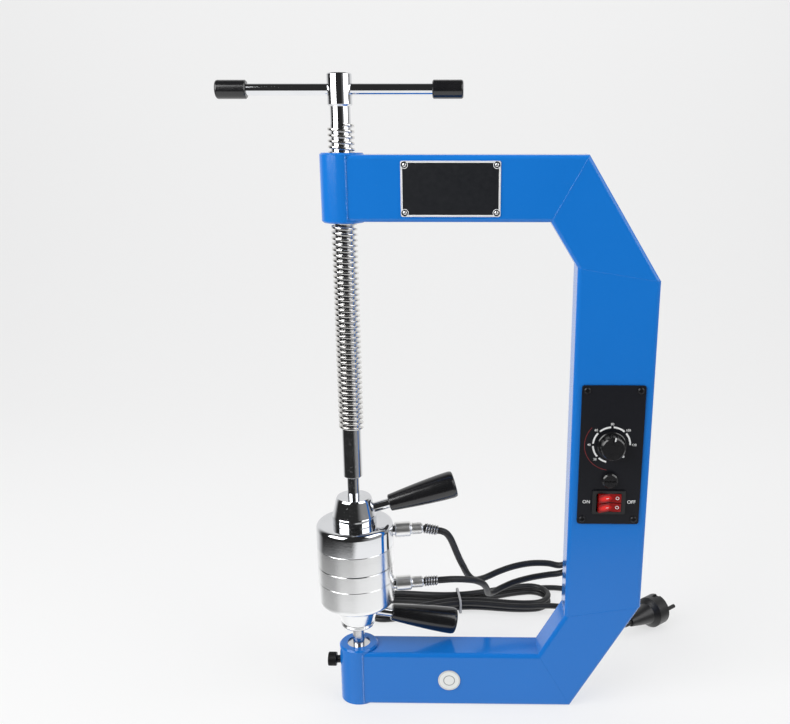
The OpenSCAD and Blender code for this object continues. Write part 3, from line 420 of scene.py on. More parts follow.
# Name plate and badge
# An anodised aluminium plate, black with a bright border that steps round its four rivets,
# and a small white enamel disc with two rings, glued to the lower arm.
plate_x, plate_front, plate_z = 97.5, -19.8, 526.0
plate_half_w, plate_half_h = 0.044, 0.024
rivet_apart = {"width": 81.0, "height": 41.0}
corner_r = 0.0030
plate_print, s = finish("plate_print")
x, y, z = s.axes((plate_x * 0.001, 0, plate_z * 0.001))
x = s.math("ABSOLUTE", x)
z = s.math("ABSOLUTE", z)
edge = s.math("MINIMUM", plate_half_w - x, plate_half_h - z)
dx = x - rivet_apart["width"] * 0.0005
dz = z - rivet_apart["height"] * 0.0005
corner = s.math("SQRT", dx * dx + dz * dz)
line = s.math("ABSOLUTE", edge - 0.0011) < 0.00055
round_line = (s.math("ABSOLUTE", corner - corner_r) < 0.00028) * ((dx + dz) < 0.0012)
rim = edge < 0.00045
bright = s.math("MAXIMUM", s.math("MAXIMUM", line * (corner > corner_r), round_line), rim)
worn = s.grain(260.0)
plate_black = s.tint(worn, (0.006, 0.007, 0.009, 1), (0.012, 0.013, 0.016, 1))
s.surface({
    "Base Color": s.tint(bright, plate_black, (0.86, 0.87, 0.88, 1)),
    "Metallic": bright * 0.2,
    "Roughness": 0.30 + 0.12 * worn,
})
coat(plate_print, "name_plate")

badge_middle = (0.095, 0, 0.030)
badge_enamel, s = finish("badge_enamel")
x, y, z = s.axes(badge_middle)
out = s.math("SQRT", x * x + z * z)
ring_a = s.math("ABSOLUTE", out - 0.0103) < 0.00022
ring_b = s.math("ABSOLUTE", out - 0.0056) < 0.00045
rim = out > 0.01105
marks = s.math("MAXIMUM", ring_a * 0.55, s.math("MAXIMUM", ring_b * 0.8, rim * 0.5))
enamel = s.tint(s.grain(150.0), (0.74, 0.75, 0.73, 1), (0.82, 0.83, 0.81, 1))
s.surface({
    "Base Color": s.tint(marks, enamel, (0.16, 0.16, 0.17, 1)),
    "Roughness": 0.34 + 0.1 * s.grain(500.0),
})
coat(badge_enamel, "round_badge")


def eased(profile, steps=4):
    """A profile of points (radius, height, ease), with each eased corner rounded."""
    outline = []
    for i, (r, z, *ease) in enumerate(profile):
        if not ease or i in (0, len(profile) - 1):
            outline.append((r, z))
            continue
        corner = Vector((r, z))
        before = Vector(profile[i - 1][:2]) - corner
        after = Vector(profile[i + 1][:2]) - corner
        half = before.angle(after) / 2
        cut = min(ease[0] / math.tan(half), 0.49 * before.length, 0.49 * after.length)
        start = corner + before.normalized() * cut
        end = corner + after.normalized() * cut
        for k in range(steps + 1):
            t = k / steps
            outline.append(tuple((1 - t) ** 2 * start + 2 * t * (1 - t) * corner + t * t * end))
    return outline


def turned(profile, sides=96, steps=4):
    """A mesh turned about Z from a profile; ends on the axis are closed to a point.

    A ring close to both ends of each long stretch keeps its shading straight."""
    corners = eased(profile, steps)
    outline = corners[:1]
    for a, b in zip(corners, corners[1:]):
        a, b = Vector(a), Vector(b)
        if (b - a).length > 2.0:
            near = (b - a).normalized() * 0.25
            outline += [tuple(a + near), tuple(b - near)]
        outline.append(tuple(b))
    points = []
    rows = []
    for r, z in outline:
        row = []
        for k in range(1 if r < 1e-6 else sides):
            a = math.tau * k / sides
            row.append(len(points))
            points.append((r * math.cos(a), r * math.sin(a), z))
        rows.append(row)
    faces = []
    for low, high in zip(rows, rows[1:]):
        for k in range(sides):
            ring = [low[k % len(low)], low[(k + 1) % len(low)]]
            ring += [high[(k + 1) % len(high)], high[k % len(high)]]
            ring = list(dict.fromkeys(ring))
            if len(ring) > 2:
                faces.append(ring)
    mesh = bpy.data.meshes.new("turned")
    mesh.from_pydata(points, [], faces)
    return mesh


def at_corners(s, size):
    """Copies of a shape at the four corners of a rectangle."""
    grid = s.node(
        "GeometryNodeMeshGrid", None,
        {"Size X": size["width"], "Size Y": size["height"], "Vertices X": 2, "Vertices Y": 2},
    )
    return s.node("GeometryNodeInstanceOnPoints", None, {"Points": grid, "Instance": size["Geometry"]})


bright_aluminium, s = finish("bright_aluminium")
s.surface({
    "Base Color": s.tint(s.grain(300.0), (0.70, 0.71, 0.72, 1), (0.82, 0.82, 0.83, 1)),
    "Metallic": 1.0,
    "Roughness": 0.24 + 0.14 * s.grain(900.0),
})
rivet = [(0, 0.75), (0.9, 0.66, 0.4), (1.6, 0.34, 0.3), (1.8, 0.0), (1.1, -0.02), (1.1, -3.0), (0, -3.0)]
rivets = grown("plate_rivets", at_corners, rivet_apart, bright_aluminium, turned(rivet, 24, 3))
rivets = settle(rivets, on_panel(plate_x, plate_front, plate_z))
plate_rivets = piece("plate_rivets", rivets, bright_aluminium)
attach(plate_rivets, "frame")
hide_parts("name_plate_rivets")


# Control panel
# A black printed plate on the column with a screw in each corner. It carries a timer with a dial,
# a fuse holder and a twin rocker switch; the wiring lies behind it inside the column.
panel_x, panel_front, panel_z = 250.0, -20.5, 278.0
timer_z, switch_z = 289.5, 231.0
rocker_apart = 9.6
panel_black, s = finish("panel_black")
s.surface({
    "Base Color": s.tint(s.grain(500.0), (0.004, 0.0045, 0.007, 1), (0.008, 0.0085, 0.012, 1)),
    "Specular IOR Level": 0.3,
    "Roughness": 0.30 + 0.14 * s.grain(1200.0),
    "Normal": s.bump(s.grain(2400.0, 1.0), 0.04, 0.0002),
})
coat(panel_black, "control_panel")

moulded_black, s = finish("moulded_black")
s.surface({
    "Base Color": s.tint(s.grain(90.0), (0.009, 0.009, 0.010, 1), (0.016, 0.016, 0.017, 1)),
    "Roughness": 0.34 + 0.12 * s.grain(600.0),
    "Normal": s.bump(s.grain(3000.0, 1.0), 0.06, 0.0002),
})
coat(moulded_black, "fuse_holder", "switch_housing", "lead_glands", "mains_gland", "timer_body")

gloss_black, s = finish("gloss_black")
s.surface({
    "Base Color": s.tint(s.grain(60.0), (0.006, 0.006, 0.007, 1), (0.012, 0.012, 0.013, 1)),
    "Roughness": 0.17 + 0.10 * s.grain(240.0),
    "Coat Weight": 0.3,
    "Coat Roughness": 0.10,
    "Normal": s.bump(s.grain(260.0, 1.0), 0.03, 0.0004),
})
coat(gloss_black, "timer_knob", "fuse_cap", "bar_caps")

pale_ceramic, s = finish("pale_ceramic")
s.surface({
    "Base Color": s.tint(s.grain(120.0), (0.66, 0.64, 0.56, 1), (0.76, 0.74, 0.68, 1)),
    "Roughness": 0.5 + 0.2 * s.grain(800.0),
})
coat(pale_ceramic, "terminal_block", "upper_thermostat", "lower_thermostat", "upper_heater", "lower_heater")

rocker_red, s = finish("rocker_red")
# Painted glow and highlight: a soft patch left of each rocker's middle gets a lighter red base colour and a
# red emission, standing in for light falling on the rockers; the mask is named lit.
glow_x = panel_x - 3.5
x, y, z = s.axes((glow_x * 0.001, 0, switch_z * 0.001))
z = s.math("ABSOLUTE", z) - rocker_apart * 0.0005
away = x * x * 0.5 + z * z * 2.2
lit = s.math("MAXIMUM", 1.0 - away * 40000.0, 0.0)
s.surface({
    "Base Color": s.tint(lit, (0.22, 0.003, 0.003, 1), (0.62, 0.010, 0.007, 1)),
    "Roughness": 0.16 + 0.08 * s.grain(400.0),
    "Coat Weight": 0.3,
    "Emission Color": s.tint(lit, (0.012, 0.0, 0.0, 1), (0.9, 0.008, 0.004, 1)),
    "Emission Strength": 0.30,
})
coat(rocker_red, "rocker_upper", "rocker_lower")


def cut_away(solid, tool, crossing=False):
    """One mesh with another cut away from it; the other may cross itself."""
    things = [bpy.data.objects.new("cut", mesh) for mesh in (solid, tool)]
    for thing in things:
        scene.collection.objects.link(thing)
    cut = things[0].modifiers.new("cut", "BOOLEAN")
    cut.operation = "DIFFERENCE"
    cut.object = things[1]
    cut.use_self = crossing
    left = things[0].evaluated_get(bpy.context.evaluated_depsgraph_get())
    mesh = bpy.data.meshes.new_from_object(left)
    for thing in things:
        bpy.data.objects.remove(thing)
    return mesh


def cross_head(head_r, rise, slot, deep):
    """A pan head with a cross recess, cut by two blades from a domed disc."""
    outline = [(0, rise), (head_r * 0.62, rise * 0.96, 0.8), (head_r, rise * 0.45, 0.5)]
    head = turned(outline + [(head_r, 0.0), (0, 0.0)], 40, 4)
    cutter = bpy.data.meshes.new("cross_cutter")
    work = bmesh.new()
    for turn in (0.0, math.pi / 2):
        made = bmesh.ops.create_cube(work, size=1.0)["verts"]
        bmesh.ops.scale(work, vec=(head_r * 1.15, slot, deep * 2), verts=made)
        bmesh.ops.rotate(work, cent=(0, 0, 0), matrix=Matrix.Rotation(turn + 0.3, 3, "Z"), verts=made)
        bmesh.ops.translate(work, vec=(0, 0, rise), verts=made)
    work.to_mesh(cutter)
    work.free()
    return cut_away(head, cutter, crossing=True)


dark_zinc, s = finish("dark_zinc")
s.surface({
    "Base Color": s.tint(s.grain(500.0), (0.022, 0.022, 0.024, 1), (0.05, 0.05, 0.054, 1)),
    "Metallic": 1.0,
    "Roughness": 0.34 + 0.16 * s.grain(1200.0),
})
screw_apart = {"width": 50.0, "height": 130.0}
screws = grown("panel_corner_screws", at_corners, screw_apart, dark_zinc, cross_head(3.3, 1.7, 0.9, 0.9))
panel_corner_screws = piece(
    "panel_corner_screws", settle(screws, on_panel(panel_x, panel_front, panel_z)), dark_zinc
)
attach(panel_corner_screws, "frame")
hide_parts("panel_screws")

print_white, s = finish("print_white")
s.surface({
    "Base Color": s.tint(s.grain(800.0), (0.70, 0.71, 0.71, 1), (0.84, 0.85, 0.85, 1)),
    "Roughness": 0.4 + 0.1 * s.grain(900.0),
})
print_red, s = finish("print_red")
s.surface({
    "Base Color": s.tint(s.grain(800.0), (0.16, 0.010, 0.012, 1), (0.24, 0.016, 0.016, 1)),
    "Roughness": 0.45 + 0.1 * s.grain(900.0),
})


def band(spans, inner, outer, rise=0.06):
    """Thin printed arcs; angles are counted clockwise from the top, in degrees."""
    points = []
    faces = []
    for a, b in spans:
        count = max(2, round(abs(b - a) / 3))
        first = len(points)
        for k in range(count + 1):
            t = math.radians(a + (b - a) * k / count)
            for r, h in ((inner, 0), (outer, 0), (outer, rise), (inner, rise)):
                points.append((r * math.sin(t), r * math.cos(t), h))
        for k in range(count):
            at = first + 4 * k
            for i in range(4):
                j = (i + 1) % 4
                faces.append((at + i, at + j, at + 4 + j, at + 4 + i))
        faces.append(tuple(first + i for i in (0, 1, 2, 3)))
        faces.append(tuple(first + 4 * count + i for i in (3, 2, 1, 0)))
    mesh = bpy.data.meshes.new("band")
    mesh.from_pydata(points, [], faces)
    return mesh


def letters(words, height, x, y):
    """Words as a thin mesh, centred on a place of the panel."""
    line = bpy.data.curves.new("letters", "FONT")
    line.body = words
    line.size = height * 1.38
    line.align_x = "CENTER"
    line.align_y = "CENTER"
    line.extrude = 0.03
    line.offset = 0.03
    shown = bpy.data.objects.new("letters", line)
    scene.collection.objects.link(shown)
    mesh = bpy.data.meshes.new_from_object(shown.evaluated_get(bpy.context.evaluated_depsgraph_get()))
    bpy.data.objects.remove(shown)
    mesh.transform(Matrix.Translation((x, y, 0.03)))
    return mesh


def joined(meshes):
    """Several meshes as one."""
    work = bmesh.new()
    for mesh in meshes:
        work.from_mesh(mesh)
    one = bpy.data.meshes.new("joined")
    work.to_mesh(one)
    work.free()
    return one


on_timer = on_panel(panel_x, panel_front, timer_z)
dial_r, dial_half = 17.6, 0.85
arcs = [(-166, -139), (-131, -94), (-86, -49), (-41, -4), (4, 41), (49, 90)]
dial = [band(arcs, dial_r - dial_half, dial_r + dial_half)]
for count, number in enumerate(("20", "40", "60", "80", "100", "120")):
    turn = math.radians(-135 + 45 * count)
    dial.append(letters(number, 2.3, 21.4 * math.sin(turn), 20.6 * math.cos(turn)))
dot = turned([(0, 0.06), (1.15, 0.06), (1.15, 0), (0, 0)], 24)
dot.transform(Matrix.Translation((11.8, -11.8, 0)))
dial.append(dot)
dial_print = piece("dial_print", settle(joined(dial), on_timer), print_white)
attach(dial_print, "frame")
dial_zone = piece("dial_zone", settle(band([(-172, -48)], 25.4, 25.9), on_timer), print_red)
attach(dial_zone, "frame")

words = joined([letters("ON", 3.4, -21.5, 0), letters("OFF", 3.4, 22, 0)])
switch_words = piece("switch_words", settle(words, on_panel(panel_x, panel_front, switch_z)), print_white)
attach(switch_words, "frame")

rocker_pin_y, rocker_tip = -18.0, math.radians(7)
rocker_half, rocker_dip, rocker_face = 9.0, 2.6, -4.1
for side, up in (("upper", 0.5), ("lower", -0.5)):
    pin = Matrix.Translation((panel_x, rocker_pin_y, switch_z + up * rocker_apart))
    on_rocker = pin @ Matrix.Rotation(rocker_tip, 4, "Z")
    marks = []
    for mark, size, x in (("\u2013", 4.6, -2.0), ("O", 3.3, 7.3)):
        lean = math.copysign(math.atan2(rocker_dip, rocker_half), -x)
        out = rocker_face - rocker_dip * abs(x) / rocker_half
        face = Matrix.Translation((x, out, 0)) @ Matrix.Rotation(lean, 4, "Z")
        flat = letters(mark, size, 0, 0)
        flat.transform(on_rocker @ face @ on_panel(0, 0, 0))
        marks.append(flat)
    rocker_marks = piece(side + "_rocker_marks", settle(joined(marks)), print_white)
    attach(rocker_marks, side + "_switch")

knob_front = -34.5
pointer = band([(-3.6, 3.6)], 8.0, 11.6)
pointer.transform(Matrix.Rotation(math.radians(-9), 4, "Z"))
knob_pointer = piece("knob_pointer", settle(pointer, on_panel(panel_x, knob_front, timer_z)), print_white)
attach(knob_pointer, "timer")


# Press screw
# A trapezoidal screw, 24 mm across with a 5 mm pitch, plated bright, with a plain shank and a grooved
# stub below and a hub on top. A chromed bar with black end caps slides through the hub.
bright_chrome, s = finish("bright_chrome")
smear = s.grain(30.0, 4.0)
x, y, z = s.axes()
pitted_r, pitted_z = 0.0225, 0.31
pitted = ((x * x + y * y) < pitted_r ** 2) * (z < pitted_z)
pits = (s.grain(800.0, 2.0) > 0.66) * pitted
s.surface({
    "Base Color": s.tint(smear, (0.66, 0.67, 0.69, 1), (0.78, 0.79, 0.81, 1)),
    "Metallic": 1.0,
    "Roughness": 0.03 + 0.05 * smear + 0.20 * pits,
    "Normal": s.bump(s.grain(500.0, 1.0), 0.02, 0.0003),
})
coat(bright_chrome, "cross_bar", "upper_socket", "lower_socket")

screw_plating, s = finish("screw_plating")
smear = s.grain(60.0, 4.0)
s.surface({
    "Base Color": s.tint(smear, (0.68, 0.67, 0.66, 1), (0.84, 0.83, 0.81, 1)),
    "Metallic": 1.0,
    "Roughness": 0.10 + 0.10 * smear,
    "Normal": s.bump(s.grain(900.0, 1.0), 0.012, 0.0003),
})

spigot = [(0, 205.4), (5.4, 205.4), (6, 206), (6, 206.8, 0.2)]
keeper_groove = [(4.3, 206.8), (4.3, 213.2), (6, 213.2, 0.2), (6, 248.2)]
shank = [(8.4, 248.2, 0.3), (9.25, 249.2, 0.4), (9.25, 298.2), (9.3, 299), (9.3, 580)]
neck = [(9.0, 581.2), (9.0, 595.6), (9.4, 596.2), (10.2, 596.2, 0.3)]
screw_head = [(11, 597.2, 0.5), (11, 622.2, 0.5), (10, 623.2, 0.3), (0, 623.2)]
core = turned(spigot + keeper_groove + shank + neck + screw_head)
bar_z = 609.7
hole = turned([(0, -16), (5.05, -16), (5.05, 16), (0, 16)], 64)
core = cut_away(settle(core), settle(hole, on_x(0, 0, bar_z)))
screw_core = piece("screw_core", core, bright_chrome)
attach(screw_core, "screw")

thread_low, thread_long, lead = 299.2, 281.0, 5.0
sizes = {
    "turns": thread_long / lead, "root": 9.25, "height": thread_long,
    "depth": 2.7, "foot": 4.75, "crest": 1.85, "ease": 0.4,
}
thread = grown("screw_thread", thread_ridge, sizes, screw_plating)
screw_thread = piece(
    "screw_thread", settle(thread, Matrix.Translation((0, 0, thread_low))), screw_plating, 40
)
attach(screw_thread, "screw")
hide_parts("press_screw")


# Heated heads
# Each head is an aluminium plate with a heater and thermostat under a turned cover, drawn together by a
# stud under a cone that turns on a grooved stub. The upper cover and cone are chromed, the rest is satin.
satin_aluminium, s = finish("satin_aluminium")
x, y, z = s.axes()
out = s.math("SQRT", x * x + y * y)
rings = s.noise(out + z, 5200.0, 2.0)
smear = s.grain(24.0, 3.0, (1, 1, 3))
s.surface({
    "Base Color": s.tint(smear, (0.80, 0.805, 0.81, 1), (0.90, 0.905, 0.91, 1)),
    "Metallic": 1.0,
    "Roughness": 0.13 + 0.08 * smear + 0.06 * rings,
    "Normal": s.bump(rings, 0.06, 0.0002),
})



def laid(start, way, profile):
    """A profile whose heights are counted from a start, upwards or downwards."""
    return [(r, start + way * z, *ease) for r, z, *ease in profile]


head_r, shell_r, stud_r = 38.5, 35.5, 4.05
cone_foot = [(0, 0.02), (20.6, 0.02), (22, 0.2, 0.5), (22, 7.6, 1.2), (21.5, 8.6, 0.6)]
cone_bore = [(6.05, 27, 0.2), (6.05, 3.4), (0, 3.4)]
upper_tip = [(17.75, 25.2, 1.0), (16.5, 27, 0.5)]
lower_tip = [(16.4, 23.6, 0.4), (17.5, 24.6, 0.4), (17.5, 26, 0.4), (16.6, 27, 0.3)]
heads = {
    "upper": {"way": 1, "face": 156.2, "seam": 176.2, "end": 200.2, "tip": upper_tip},
    "lower": {"way": -1, "face": 155.8, "seam": 138.8, "end": 111.8, "tip": lower_tip},
}
for side, head in heads.items():
    way, face, seam, end = head["way"], head["face"], head["seam"], head["end"]
    shine, metal = (bright_chrome, "chrome") if side == "upper" else (satin_aluminium, "aluminium")
    cone = laid(end, way, cone_foot + head["tip"] + cone_bore)
    skirt = laid(seam, way, [(shell_r, 0.05), (head_r - 0.3, 0.05), (head_r, 0.35, 0.2)])
    top = laid(end, way, [(head_r, 0.0, 5.6), (stud_r, 0.0), (stud_r, -5.0), (shell_r, -5.0)])
    rim = laid(face, way, [(0, 0.0), (head_r - 0.4, 0.0), (head_r, 0.4, 0.2)])
    step = laid(seam, way, [(head_r, -0.3, 0.2), (head_r - 0.3, 0.0), (shell_r - 0.1, 0.0)])
    inside = laid(seam, way, [(shell_r - 0.1, 3.0), (0, 3.0)])
    for part, made, slot, profile in (
        ("cone", shine, metal, cone),
        ("cover", shine, metal, skirt + top + skirt[:1]),
        ("plate", satin_aluminium, "aluminium", rim + step + inside),
    ):
        shown = piece(f"{side}_{part}_turned", settle(turned(profile, 160, 8)), made, 40)
        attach(shown, side + "_head")
        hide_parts(f"{side}_{part}")

head_turn = Matrix.Rotation(math.radians(10), 4, "Z")
rod_cross, rod_slope = 8.5, 14.0


def on_handle(side):
    """Turns what was drawn along +Z onto the sloping rod of a head's handle."""
    way = heads[side]["way"]
    slope = Matrix.Rotation(math.radians(90 - rod_slope * way), 4, "Y")
    return head_turn @ Matrix.Translation((0, 0, heads[side]["end"] + rod_cross * way)) @ slope


grip_r, grip_low, grip_high, grip_bore = 13.7, 36.0, 105.0, 5.02
grip_profile = [(grip_bore, grip_low), (7.2, grip_low, 0.5), (8.3, 36.8, 0.6)]
for k in range(13):
    way = k / 12
    grip_profile.append((grip_r - 5.2 * (1 - way) ** 1.4, 37.0 + 61.0 * way))
grip_profile += [(grip_r, 101.6, 2.4), (13.0, 104.4, 1.6), (11.2, grip_high, 0.6), (0, grip_high)]
grip_profile += [(0, 63.7), (grip_bore, 63.7), (grip_bore, grip_low)]
rod_profile = [(0, 5.4), (2.3, 5.4, 0.2), (2.5, 5.8), (2.5, 9)]
rod_profile += [(4.6, 9, 0.2), (5, 9.6), (5, 63.2, 0.4), (0, 63.6)]
for side in heads:
    grip = settle(turned(grip_profile, 72, 5), on_handle(side))
    grip = piece(side + "_grip_moulded", grip, gloss_black, 40)
    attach(grip, side + "_head")
    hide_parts(side + "_grip")
    rod = piece(side + "_rod_turned", settle(turned(rod_profile, 48), on_handle(side)), bright_chrome)
    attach(rod, side + "_head")
    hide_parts(side + "_handle_rod")
    "chrome" if side == "upper" else "steel"


# Lead connectors
# A nickelled barrel and knurled nut screw onto the socket in each cover; a steel spring behind them
# keeps the lead from kinking.
plug_long = 28.5
barrel = [(0, 0.02), (6.6, 0.02), (7.8, 0.9, 0.4), (7.8, 14.8, 0.5), (7.2, 15.9, 0.4), (5.8, 16.5, 0.3)]
barrel += [(5.55, 17.2, 0.2), (5.55, 27.2, 0.4), (4.9, plug_long, 0.3), (0, plug_long)]
sleeve = [(0, 0.0), (2.9, 0.0), (2.9, 1.4), (4.5, 1.4, 0.2), (4.2, 14.9, 0.3), (3.5, 15.5, 0.2), (0, 15.5)]
plug_from = 40.02
plug_z = {"upper": 187.7, "lower": 127.3}
relief_droop = {"upper": math.radians(15), "lower": 0.0}


def on_connector(side):
    """Turns what was drawn along +Z onto a head's connector."""
    return head_turn @ on_x(plug_from, 0, plug_z[side])


def on_relief(side):
    """Turns what was drawn along +Z onto the relief of a head's connector, which may droop."""
    droop = relief_droop[side]
    out = Matrix.Translation((0, 0, plug_long + 3.0 * math.sin(droop)))
    return on_connector(side) @ out @ Matrix.Rotation(droop, 4, "Y")


def relief_spring(s, size):
    """A close coil of round wire that tapers towards its end."""
    coil = s.node("GeometryNodeCurveSpiral", None, {
        "Resolution": 28, "Rotations": size["turns"], "Height": size["length"],
        "Start Radius": size["start"], "End Radius": size["end"],
    })
    wire = s.node("GeometryNodeCurvePrimitiveCircle", None, {"Resolution": 10, "Radius": size["wire"]})
    return s.node("GeometryNodeCurveToMesh", None, {"Curve": coil, "Profile Curve": wire, "Fill Caps": True})


satin_nickel, s = finish("satin_nickel")
s.surface({
    "Base Color": s.tint(s.grain(60.0), (0.84, 0.84, 0.83, 1), (0.93, 0.93, 0.92, 1)),
    "Metallic": 1.0,
    "Roughness": 0.30 + 0.10 * s.grain(500.0),
})
rubber_black, s = finish("rubber_black")
s.surface({
    "Base Color": s.tint(s.grain(70.0), (0.008, 0.008, 0.009, 1), (0.016, 0.016, 0.017, 1)),
    "Roughness": 0.38 + 0.16 * s.grain(420.0),
    "Normal": s.bump(s.grain(1400.0, 1.0), 0.06, 0.0003),
})
bright_spring, s = finish("bright_spring")
s.surface({
    "Base Color": s.tint(s.grain(300.0), (0.46, 0.46, 0.47, 1), (0.62, 0.62, 0.63, 1)),
    "Metallic": 1.0,
    "Roughness": 0.20 + 0.12 * s.grain(900.0),
})
plug_teeth = {"count": 36, "radius": 5.5}
coil_sizes = {"turns": 4.6, "start": 4.75, "end": 4.45, "length": 12.6, "wire": 0.80}
coil_from = Matrix.Translation((0, 0, 2.0))
for side in heads:
    body = side + "_head"
    shell = piece(side + "_plug_shell", settle(turned(barrel, 72), on_connector(side)), satin_nickel)
    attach(shell, body)
    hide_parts(side + "_plug")
    knurl = grown(side + "_plug_knurl", ring_of, plug_teeth, satin_nickel, ridge(9.4, 0.8, 0.25, 17.6))
    knurl = piece(side + "_plug_knurl", settle(knurl, on_connector(side)), satin_nickel, 20)
    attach(knurl, body)
    boot = piece(side + "_relief_sleeve", settle(turned(sleeve, 40), on_relief(side)), rubber_black)
    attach(boot, body)
    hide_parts(side + "_relief")
    coil = grown(side + "_relief_spring", relief_spring, coil_sizes, bright_spring)
    coil = piece(side + "_relief_spring", settle(coil, on_relief(side) @ coil_from), bright_spring)
    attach(coil, body)


# Cords
# Two rubber leads run from the heads to glands on the back of the column. The mains cord leaves below them,
# is folded into a tied hank behind the frame and ends in a round moulded plug.
def flowing(route, steps):
    """Smooth points on a route, with some steps between each two of its points."""
    route = [Vector(p) for p in route]
    last = len(route) - 1
    points = []
    for i in range(last):
        a, b, c, d = route[max(i - 1, 0)], route[i], route[i + 1], route[min(i + 2, last)]
        for k in range(steps):
            t = k / steps
            bow = t * t * (a - 2.5 * b + 2 * c - 0.5 * d)
            twist = t ** 3 * (1.5 * b - 0.5 * a - 1.5 * c + 0.5 * d)
            points.append(b + 0.5 * t * (c - a) + bow + twist)
    return points + [route[last]]


def cord_tube(points, diameter, sides=20):
    """A closed tube along points, whose rings turn as little as they can."""
    last = len(points) - 1
    ways = [(points[min(i + 1, last)] - points[max(i - 1, 0)]).normalized() for i in range(last + 1)]
    side = Vector((0, 0, 1)) if abs(ways[0].z) < 0.9 else Vector((1, 0, 0))
    corners = []
    for point, way in zip(points, ways):
        side = (side - side.dot(way) * way).normalized()
        over = way.cross(side)
        for k in range(sides):
            a = math.tau * k / sides
            corners.append(point + diameter / 2 * (math.cos(a) * side + math.sin(a) * over))
    faces = [tuple(range(sides - 1, -1, -1)), tuple(last * sides + k for k in range(sides))]
    for i in range(last):
        for k in range(sides):
            a, b = i * sides + k, i * sides + (k + 1) % sides
            faces.append((a, b, b + sides, a + sides))
    mesh = bpy.data.meshes.new("cord_tube")
    mesh.from_pydata(corners, [], faces)
    return mesh


def metres(points):
    """Points in metres, as plain numbers."""
    return [tuple(p * 0.001) for p in points]


def length_of(points):
    """The length along points, in metres."""
    return sum((b - a).length for a, b in zip(points, points[1:])) * 0.001


cord_d = 7.0


def lead_end(side, out):
    """A point some way past the end of a connector's relief."""
    return on_relief(side) @ Vector((0, 0, 16.0 + out))


upper_route = [lead_end("upper", 0), lead_end("upper", 4)]
upper_route += [
    (91.7, 16.4, 179.7), (95.6, 18.3, 173.4), (98.5, 21.2, 165.3), (101.5, 24.8, 155.5), (105, 29, 144.5),
    (109.1, 34, 133.3), (113.9, 42, 119.8), (120.9, 52, 108.7), (132, 62, 105.9), (148.7, 72, 108.8),
    (165.6, 80, 111), (184.5, 85, 112.3), (202.9, 87, 111.4), (216.2, 85, 110), (228, 80, 117),
    (236, 69, 130), (238, 49, 142.03), (238, 42.5, 142.03),
]
lower_route = [lead_end("lower", 0), lead_end("lower", cord_d)]
lower_route += [
    (98.5, 18.5, 126.5), (110.3, 24, 123.5), (121.9, 32, 118), (130.6, 42, 108.6), (134.6, 52, 97.3),
    (135.9, 62, 87.5), (141.2, 72, 82.7), (151.5, 81, 83.7), (166.4, 88, 87.2), (185.5, 94, 89.9),
    (204.2, 97, 92), (219, 96, 95), (234, 91, 105), (249, 79.5, 124), (258.5, 65, 136.8),
    (262, 49, 142.03), (262, 42.5, 142.03),
]
route_steps = 6
upper_points = flowing(upper_route, route_steps)
halfway = route_steps * 10
upper_drop = upper_points[:halfway + 1]
upper_run = upper_points[halfway:][::-1]
lower_points = flowing(lower_route, route_steps)[::-1]

upper_lead_drop = piece("upper_lead_drop", settle(cord_tube(upper_drop, cord_d)), rubber_black, 60)
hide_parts("upper_lead")
metres(upper_drop)[6]
metres(upper_drop)[-1]
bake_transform(upper_lead_drop)
metres(upper_drop)[0]
length_of(upper_drop)
metres(upper_drop)
upper_lead_run = piece("upper_lead_run", settle(cord_tube(upper_run, cord_d)), rubber_black, 60)
metres(upper_run)[6]
metres(upper_run)[-1]
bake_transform(upper_lead_run)
metres(upper_run)[0]
length_of(upper_run)
metres(upper_run)
lower_lead_rubber = piece("lower_lead_rubber", settle(cord_tube(lower_points, cord_d)), rubber_black, 60)
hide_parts("lower_lead")
metres(lower_points)[-6]
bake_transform(lower_lead_rubber)
metres(lower_points)[0]
length_of(lower_points)
metres(lower_points)

hank_middle = Vector((102, 186, 0))
hank_turn = math.radians(8)
hank_loops = 2.82
hank_half, hank_bend = 92.0, 30.0
hank_waist, hank_step = 15.0, 8.6
hank_layer = cord_d + 0.8
hank_low = cord_d / 2 + 0.2


def hank_point(u):
    """A point on the hank after u loops: in on the bench, and out again on top of itself."""
    inwards = hank_step * min(u, hank_loops - u)
    bend, waist = hank_bend - inwards, hank_waist - inwards
    t = u - math.floor(u)

    def run(x):
        return waist + (bend - waist) * (1 - math.cos(math.pi * min(1, abs(x) / hank_half))) / 2

    if t < 0.32:
        x = hank_half * (1 - t / 0.16)
        y = run(x)
    elif t < 0.5:
        a = math.radians(90 + (t - 0.32) * 1000)
        x, y = -hank_half + bend * math.cos(a), bend * math.sin(a)
    elif t < 0.82:
        x = hank_half * ((t - 0.5) / 0.16 - 1)
        y = -run(x)
    else:
        a = math.radians(-90 + (t - 0.82) * 1000)
        x, y = hank_half + bend * math.cos(a), bend * math.sin(a)
    climb = min(max((u - hank_loops / 2) / 0.32 + 0.5, 0), 1)
    climb = climb * climb * (3 - 2 * climb)
    z = hank_low + 1.2 * math.exp(-((x / 45) ** 2)) + hank_layer * climb
    return hank_middle + Matrix.Rotation(hank_turn, 3, "Z") @ Vector((x, y, z))


